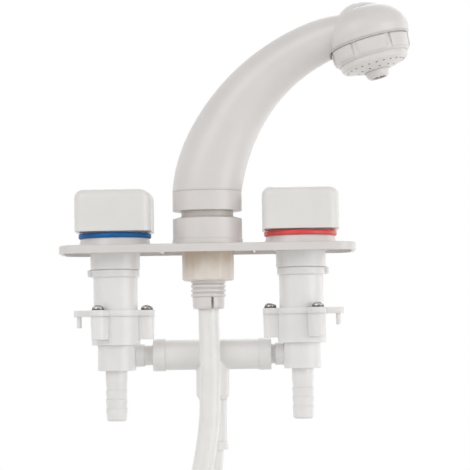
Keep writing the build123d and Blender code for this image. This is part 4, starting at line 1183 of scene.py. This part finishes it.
@dataclass
class ScrewCircle:
    """Where a valve's three screws stand.

    Attributes:
        axis_x: The valve's axis across, in metres.
        sign: -1 on the cold side and 1 on the hot side.
        count: How many screws there are.
        circle: The radius of the circle that they stand on, in metres.
    """

    axis_x: float
    sign: int
    count: int = 3
    circle: float = 0.0187

    def places(self) -> list[tuple[float, float, float]]:
        """Finds where the screws stand.

        Returns:
            Each screw's place across and to the back, and its angle about the valve.
        """
        found = []
        for index in range(self.count):
            angle = 2 * math.pi * index / self.count
            across, back = -self.sign * math.cos(angle), math.sin(angle)
            found.append((
                self.axis_x + across * self.circle,
                back * self.circle,
                math.atan2(back, across),
            ))
        return found


@dataclass
class PanScrews(ScrewCircle):
    """The three cross-head screws that clamp a valve's two halves.

    Attributes:
        seat: The height that their heads sit at, in metres.
        head_radius: The heads' radius, in metres.
        head_height: The heads' height, in metres.
        rim_share: The share of that height that stands straight.
        crown_power: How full the crown over it is; less is fuller.
        crown_steps: How many faces the crown has from its rim to its top.
        shank_radius: The shanks' radius, in metres.
        shank_length: The shanks' length, in metres.
        tip_share: The tip's radius as a share of the shank's.
        tip_length: How long the tip is, in metres.
        recess: The length, width and depth of a recess's arms, in metres.
        recess_foot: The arms' size at their foot, as a share of that at the crown.
        turns: How far each recess is turned, in degrees.
        sides: How many sides a screw has.
    """

    seat: float = -0.0334
    head_radius: float = 0.00365
    head_height: float = 0.0031
    rim_share: float = 0.22
    crown_power: float = 0.72
    crown_steps: int = 9
    shank_radius: float = 0.0019
    shank_length: float = 0.014
    tip_share: float = 0.55
    tip_length: float = 0.0012
    recess: Point = (0.0040, 0.0009, 0.0017)
    recess_foot: float = 0.62
    turns: Sequence[float] = (24.0, 71.0, 8.0)
    sides: int = 40

    def outline(self) -> list[tuple[float, float]]:
        """Draws half of a screw's section.

        Returns:
            Its outline as radii and heights over the seat, from the tip up.
        """
        rim = self.rim_share
        points = [
            (0.0, -self.shank_length),
            (self.tip_share * self.shank_radius, -self.shank_length),
            (self.shank_radius, self.tip_length - self.shank_length),
            (self.shank_radius, 0.0),
            (self.head_radius, 0.0),
            (self.head_radius, rim * self.head_height),
        ]
        for index in range(1, self.crown_steps + 1):
            angle = math.pi / 2 * index / self.crown_steps
            points.append((
                self.head_radius * math.cos(angle) ** self.crown_power,
                self.head_height * (rim + (1 - rim) * math.sin(angle)),
            ))
        return points

    def one(self, turn: float) -> bpy.types.Mesh:
        """Makes one screw with its recess cut.

        Args:
            turn: How far the recess is turned, in degrees.

        Returns:
            The screw's mesh, standing at the origin.
        """
        blank = lathed("screw_blank", self.outline(), self.sides)
        length, width, depth = self.recess
        cutter = bmesh.new()
        for quarter in (0.0, 90.0):
            made = bmesh.ops.create_cube(cutter, size=1.0)["verts"]
            for vertex in made:
                taper = self.recess_foot if vertex.co.z < 0 else 1.0
                vertex.co = Vector((
                    vertex.co.x * length * taper,
                    vertex.co.y * width * taper,
                    vertex.co.z * 2 * depth + self.head_height,
                ))
            bmesh.ops.rotate(
                cutter, verts=made, matrix=Matrix.Rotation(math.radians(turn + quarter), 3, "Z")
            )
        return carved(blank, cutter)

    def build(self, label: str) -> None:
        """Makes the three screws as one piece.

        Args:
            label: The first word of the names of the valve's nodes.
        """
        joined = bmesh.new()
        for turn, (x, y, _) in zip(self.turns, self.places()):
            screw = self.one(turn)
            screw.transform(Matrix.Translation((x, y, self.seat)))
            joined.from_mesh(screw)
            bpy.data.meshes.remove(screw)
        name = f"{label}_cross_screws"
        mesh = meshed(name, joined)
        smoothed(mesh, CRISP_CUT)
        new_piece(name, mesh, CHROME, "base", (f"{label}_body_screws",))


@dataclass
class ScrewBosses(ScrewCircle):
    """The square-ended skins of the three bosses that a valve's screws go into.

    Attributes:
        reach: How far they run inward from the screws, into the cup's wall, in metres.
        top: The height of their upper ends, under the clamp's ears, in metres.
        bottom: The height of their lower ends, in metres.
        top_radius: Their radius at the top, in metres.
        bottom_radius: Their radius at the bottom, in metres.
        edge: How far their lower edge is broken, in metres.
        steps: How many faces their round side has.
    """

    reach: float = 0.0052
    top: float = -0.03725
    bottom: float = -0.0510
    top_radius: float = 0.0045
    bottom_radius: float = 0.0041
    edge: float = 0.0003
    steps: int = 24

    def level(self, radius: float, height: float) -> list[Vector]:
        """Draws one level of a boss, round outside and straight on its way to the cup.

        Args:
            radius: The radius of its round side, in metres.
            height: How high it is, in metres.

        Returns:
            Its corners, once round.
        """
        arc = [math.pi * (step / self.steps - 0.5) for step in range(self.steps + 1)]
        return [
            *(Vector((radius * math.cos(turn), radius * math.sin(turn), height)) for turn in arc),
            Vector((-self.reach, radius, height)),
            Vector((-self.reach, -radius, height)),
        ]

    def add(self, shape: bmesh.types.BMesh, place: Matrix) -> None:
        """Adds one boss.

        Args:
            shape: What it is added to.
            place: Where it stands.
        """
        sections = (
            (self.bottom_radius - self.edge, self.bottom),
            (self.bottom_radius, self.bottom + self.edge),
            (self.top_radius, self.top),
        )
        levels = [
            [shape.verts.new(place @ point) for point in self.level(radius, height)]
            for radius, height in sections
        ]
        shape.faces.new(levels[0][::-1])
        shape.faces.new(levels[-1])
        for lower, upper in zip(levels, levels[1:]):
            for index in range(len(lower)):
                shape.faces.new((lower[index - 1], lower[index], upper[index], upper[index - 1]))

    def build(self, label: str) -> None:
        """Makes a valve's bosses as one piece.

        Args:
            label: The first word of the names of the valve's nodes.
        """
        shape = bmesh.new()
        for x, y, outward in self.places():
            turn = Matrix.Rotation(outward, 4, "Z")
            self.add(shape, Matrix.Translation((x, y, 0.0)) @ turn)
        name = f"{label}_screw_bosses"
        mesh = meshed(name, shape)
        smoothed(mesh, CRISP_ROUND)
        new_piece(name, mesh, RESIN, "base")


def lathed(
    name: str, outline: Sequence[tuple[float, float]], steps: int, ring: bool = False
) -> bpy.types.Mesh:
    """Turns an outline about Z into a closed mesh.

    Args:
        name: The mesh's name.
        outline: Radii and heights. The first and last radii are 0 unless the piece is a ring.
        steps: How many sides the turned piece has.
        ring: Whether the outline closes on itself round the section of a ring.

    Returns:
        The mesh.
    """
    shape = bmesh.new()
    rings = []
    for radius, height in outline:
        if radius < ON_AXIS:
            rings.append([shape.verts.new((0.0, 0.0, height))])
            continue
        rings.append([
            shape.verts.new((
                radius * math.cos(2 * math.pi * step / steps),
                radius * math.sin(2 * math.pi * step / steps),
                height,
            ))
            for step in range(steps)
        ])
    last = rings[:1] if ring else []
    for lower, upper in zip(rings, rings[1:] + last):
        for step in range(steps):
            after = (step + 1) % steps
            corners = [
                lower[step % len(lower)],
                lower[after % len(lower)],
                upper[after % len(upper)],
                upper[step % len(upper)],
            ]
            shape.faces.new(list(dict.fromkeys(corners)))
    bmesh.ops.recalc_face_normals(shape, faces=shape.faces)
    return meshed(name, shape)


def carved(blank: bpy.types.Mesh, cutter: bmesh.types.BMesh) -> bpy.types.Mesh:
    """Cuts one closed shape out of another.

    Args:
        blank: The mesh that is cut, which is used up.
        cutter: The shape that is taken away, which is used up.

    Returns:
        What is left.
    """
    tool_mesh = meshed("cutter", cutter)
    work, tool = placed("carving", blank), placed("cutter", tool_mesh)
    cut = work.modifiers.new("cut", "BOOLEAN")
    cut.operation = "DIFFERENCE"
    cut.solver = "EXACT"
    cut.use_self = True
    cut.object = tool
    bpy.context.view_layer.update()
    left = bpy.data.meshes.new_from_object(
        work.evaluated_get(bpy.context.evaluated_depsgraph_get())
    )
    bpy.data.objects.remove(work)
    bpy.data.objects.remove(tool)
    bpy.data.meshes.remove(blank)
    bpy.data.meshes.remove(tool_mesh)
    return left


def smoothed(mesh: bpy.types.Mesh, sharp: float) -> None:
    """Shades a mesh smooth, with its sharper edges crisp.

    Args:
        mesh: The mesh.
        sharp: The angle from which an edge is crisp, in degrees.
    """
    for polygon in mesh.polygons:
        polygon.use_smooth = True
    mesh.set_sharp_from_angle(angle=math.radians(sharp))


@dataclass
class TapValve:
    """One tap: its knob, index ring, valve and hose tail.

    Attributes:
        side: Which tap it is.
        offset: How far its axis is from the pedestal's, in metres.
    """

    side: Side
    offset: float = 0.0556

    def build(self) -> None:
        """Dresses the tap's nodes and makes its screws."""
        finishes = {
            "valve_body": RESIN,
            "retaining_nut": RESIN,
            "lock_ring": RESIN,
            "inlet_body": RESIN,
            "cartridge_housing": SLIDE,
            "fixed_disc": CERAMIC,
            "moving_disc": CERAMIC,
            "spindle": BRASS,
            "spindle_seal": RUBBER,
            "disc_seal": RUBBER,
            "port_seal": RUBBER,
            "index_ring": self.side.ring,
            "knob": KNOB,
        }
        for node, finish in finishes.items():
            dress(f"{self.side.label}_{node}", finish)
        for fixing in (PanScrews, ScrewBosses):
            fixing(self.side.sign * self.offset, self.side.sign).build(self.side.label)


@dataclass
class DeckMount:
    """The plate, the pedestal and what holds them to the deck."""

    def build(self) -> None:
        """Dresses the plate, the pedestal, its trim, its liner and its nut."""
        dress("deck_plate", BODY)
        dress("pedestal", BODY)
        dress("pedestal_trim", TRIM)
        dress("swivel_liner", SLIDE)
        dress("deck_nut", CREAM)


@dataclass
class MixingTee:
    """The tee that joins the two valves, and the hose's ferrule."""

    def build(self) -> None:
        """Dresses the tee and the ferrule."""
        dress("tee", RESIN)
        dress("hose_ferrule", RESIN)


@dataclass
class Handset:
    """The pull-out handset: its shell, its collar and the waterway inside."""

    def build(self) -> None:
        """Dresses the shell and what it holds."""
        dress("handset_shell", SHELL)
        dress("handset_collar", BODY)
        dress("hose_connector", BRASS)
        dress("connector_washer", RUBBER)
        dress("waterway", RESIN)
        dress("head_chamber", RESIN)


@dataclass
class SeamLip:
    """The thin lip under the head's housing that closes the gap over the selector ring.

    Attributes:
        radius: Its outer radius, in metres.
        width: How wide it is, in metres.
        depth: How far it stands down from the housing, in metres.
        start: How far under the housing's seam it starts, in metres.
        steps: How many faces its rounded lower edge has.
        sides: How many sides it has round the head.
    """

    radius: float = 0.0243
    width: float = 0.0013
    depth: float = 0.0006
    start: float = 0.00002
    steps: int = 5
    sides: int = 128

    def outline(self) -> list[tuple[float, float]]:
        """Draws the lip's section, with a round lower edge.

        Returns:
            Its corners as radii and depths, once round.
        """
        inner, bend = self.radius - self.width, self.depth / 2
        points = [(inner, self.start), (inner, self.depth)]
        for index in range(self.steps + 1):
            angle = math.pi / 2 * index / self.steps
            points.append((
                self.radius - bend + bend * math.sin(angle),
                bend + bend * math.cos(angle),
            ))
        points.append((self.radius, self.start))
        return points

    def build(self) -> None:
        """Makes the lip and sets it on the head's axis."""
        mesh = lathed("seam_lip", self.outline(), self.sides, ring=True)
        turn = HEAD_AXIS.to_track_quat("Z", "Y").to_matrix().to_4x4()
        mesh.transform(Matrix.Translation(HEAD_CENTRE) @ turn)
        smoothed(mesh, CRISP_ROUND)
        new_piece("seam_lip", mesh, BODY, "handset")


@dataclass
class SprayHead:
    """The turning selector with its spray face, the lip over it, and the stop button."""

    def build(self) -> None:
        """Dresses the selector's pieces and the button's, and makes the lip."""
        dress("selector_ring", BODY)
        dress("spray_face", SPRAY)
        dress("diverter_disc", SLIDE)
        dress("centre_nozzle", SPRAY)
        dress("face_seal", RUBBER)
        dress("stop_button", BUTTON)
        dress("button_spring", WIRE)
        SeamLip().build()


def main() -> None:
    """Builds the mixer and its studio, the camera and the hose first."""
    logging.basicConfig(level=logging.INFO, format="%(message)s")
    PhotoCamera().build()
    ShowerHose().build()
    Studio().build()
    DeckMount().build()
    for side in Side:
        TapValve(side).build()
    MixingTee().build()
    Handset().build()
    SprayHead().build()


if __name__ == "__main__":
    main()
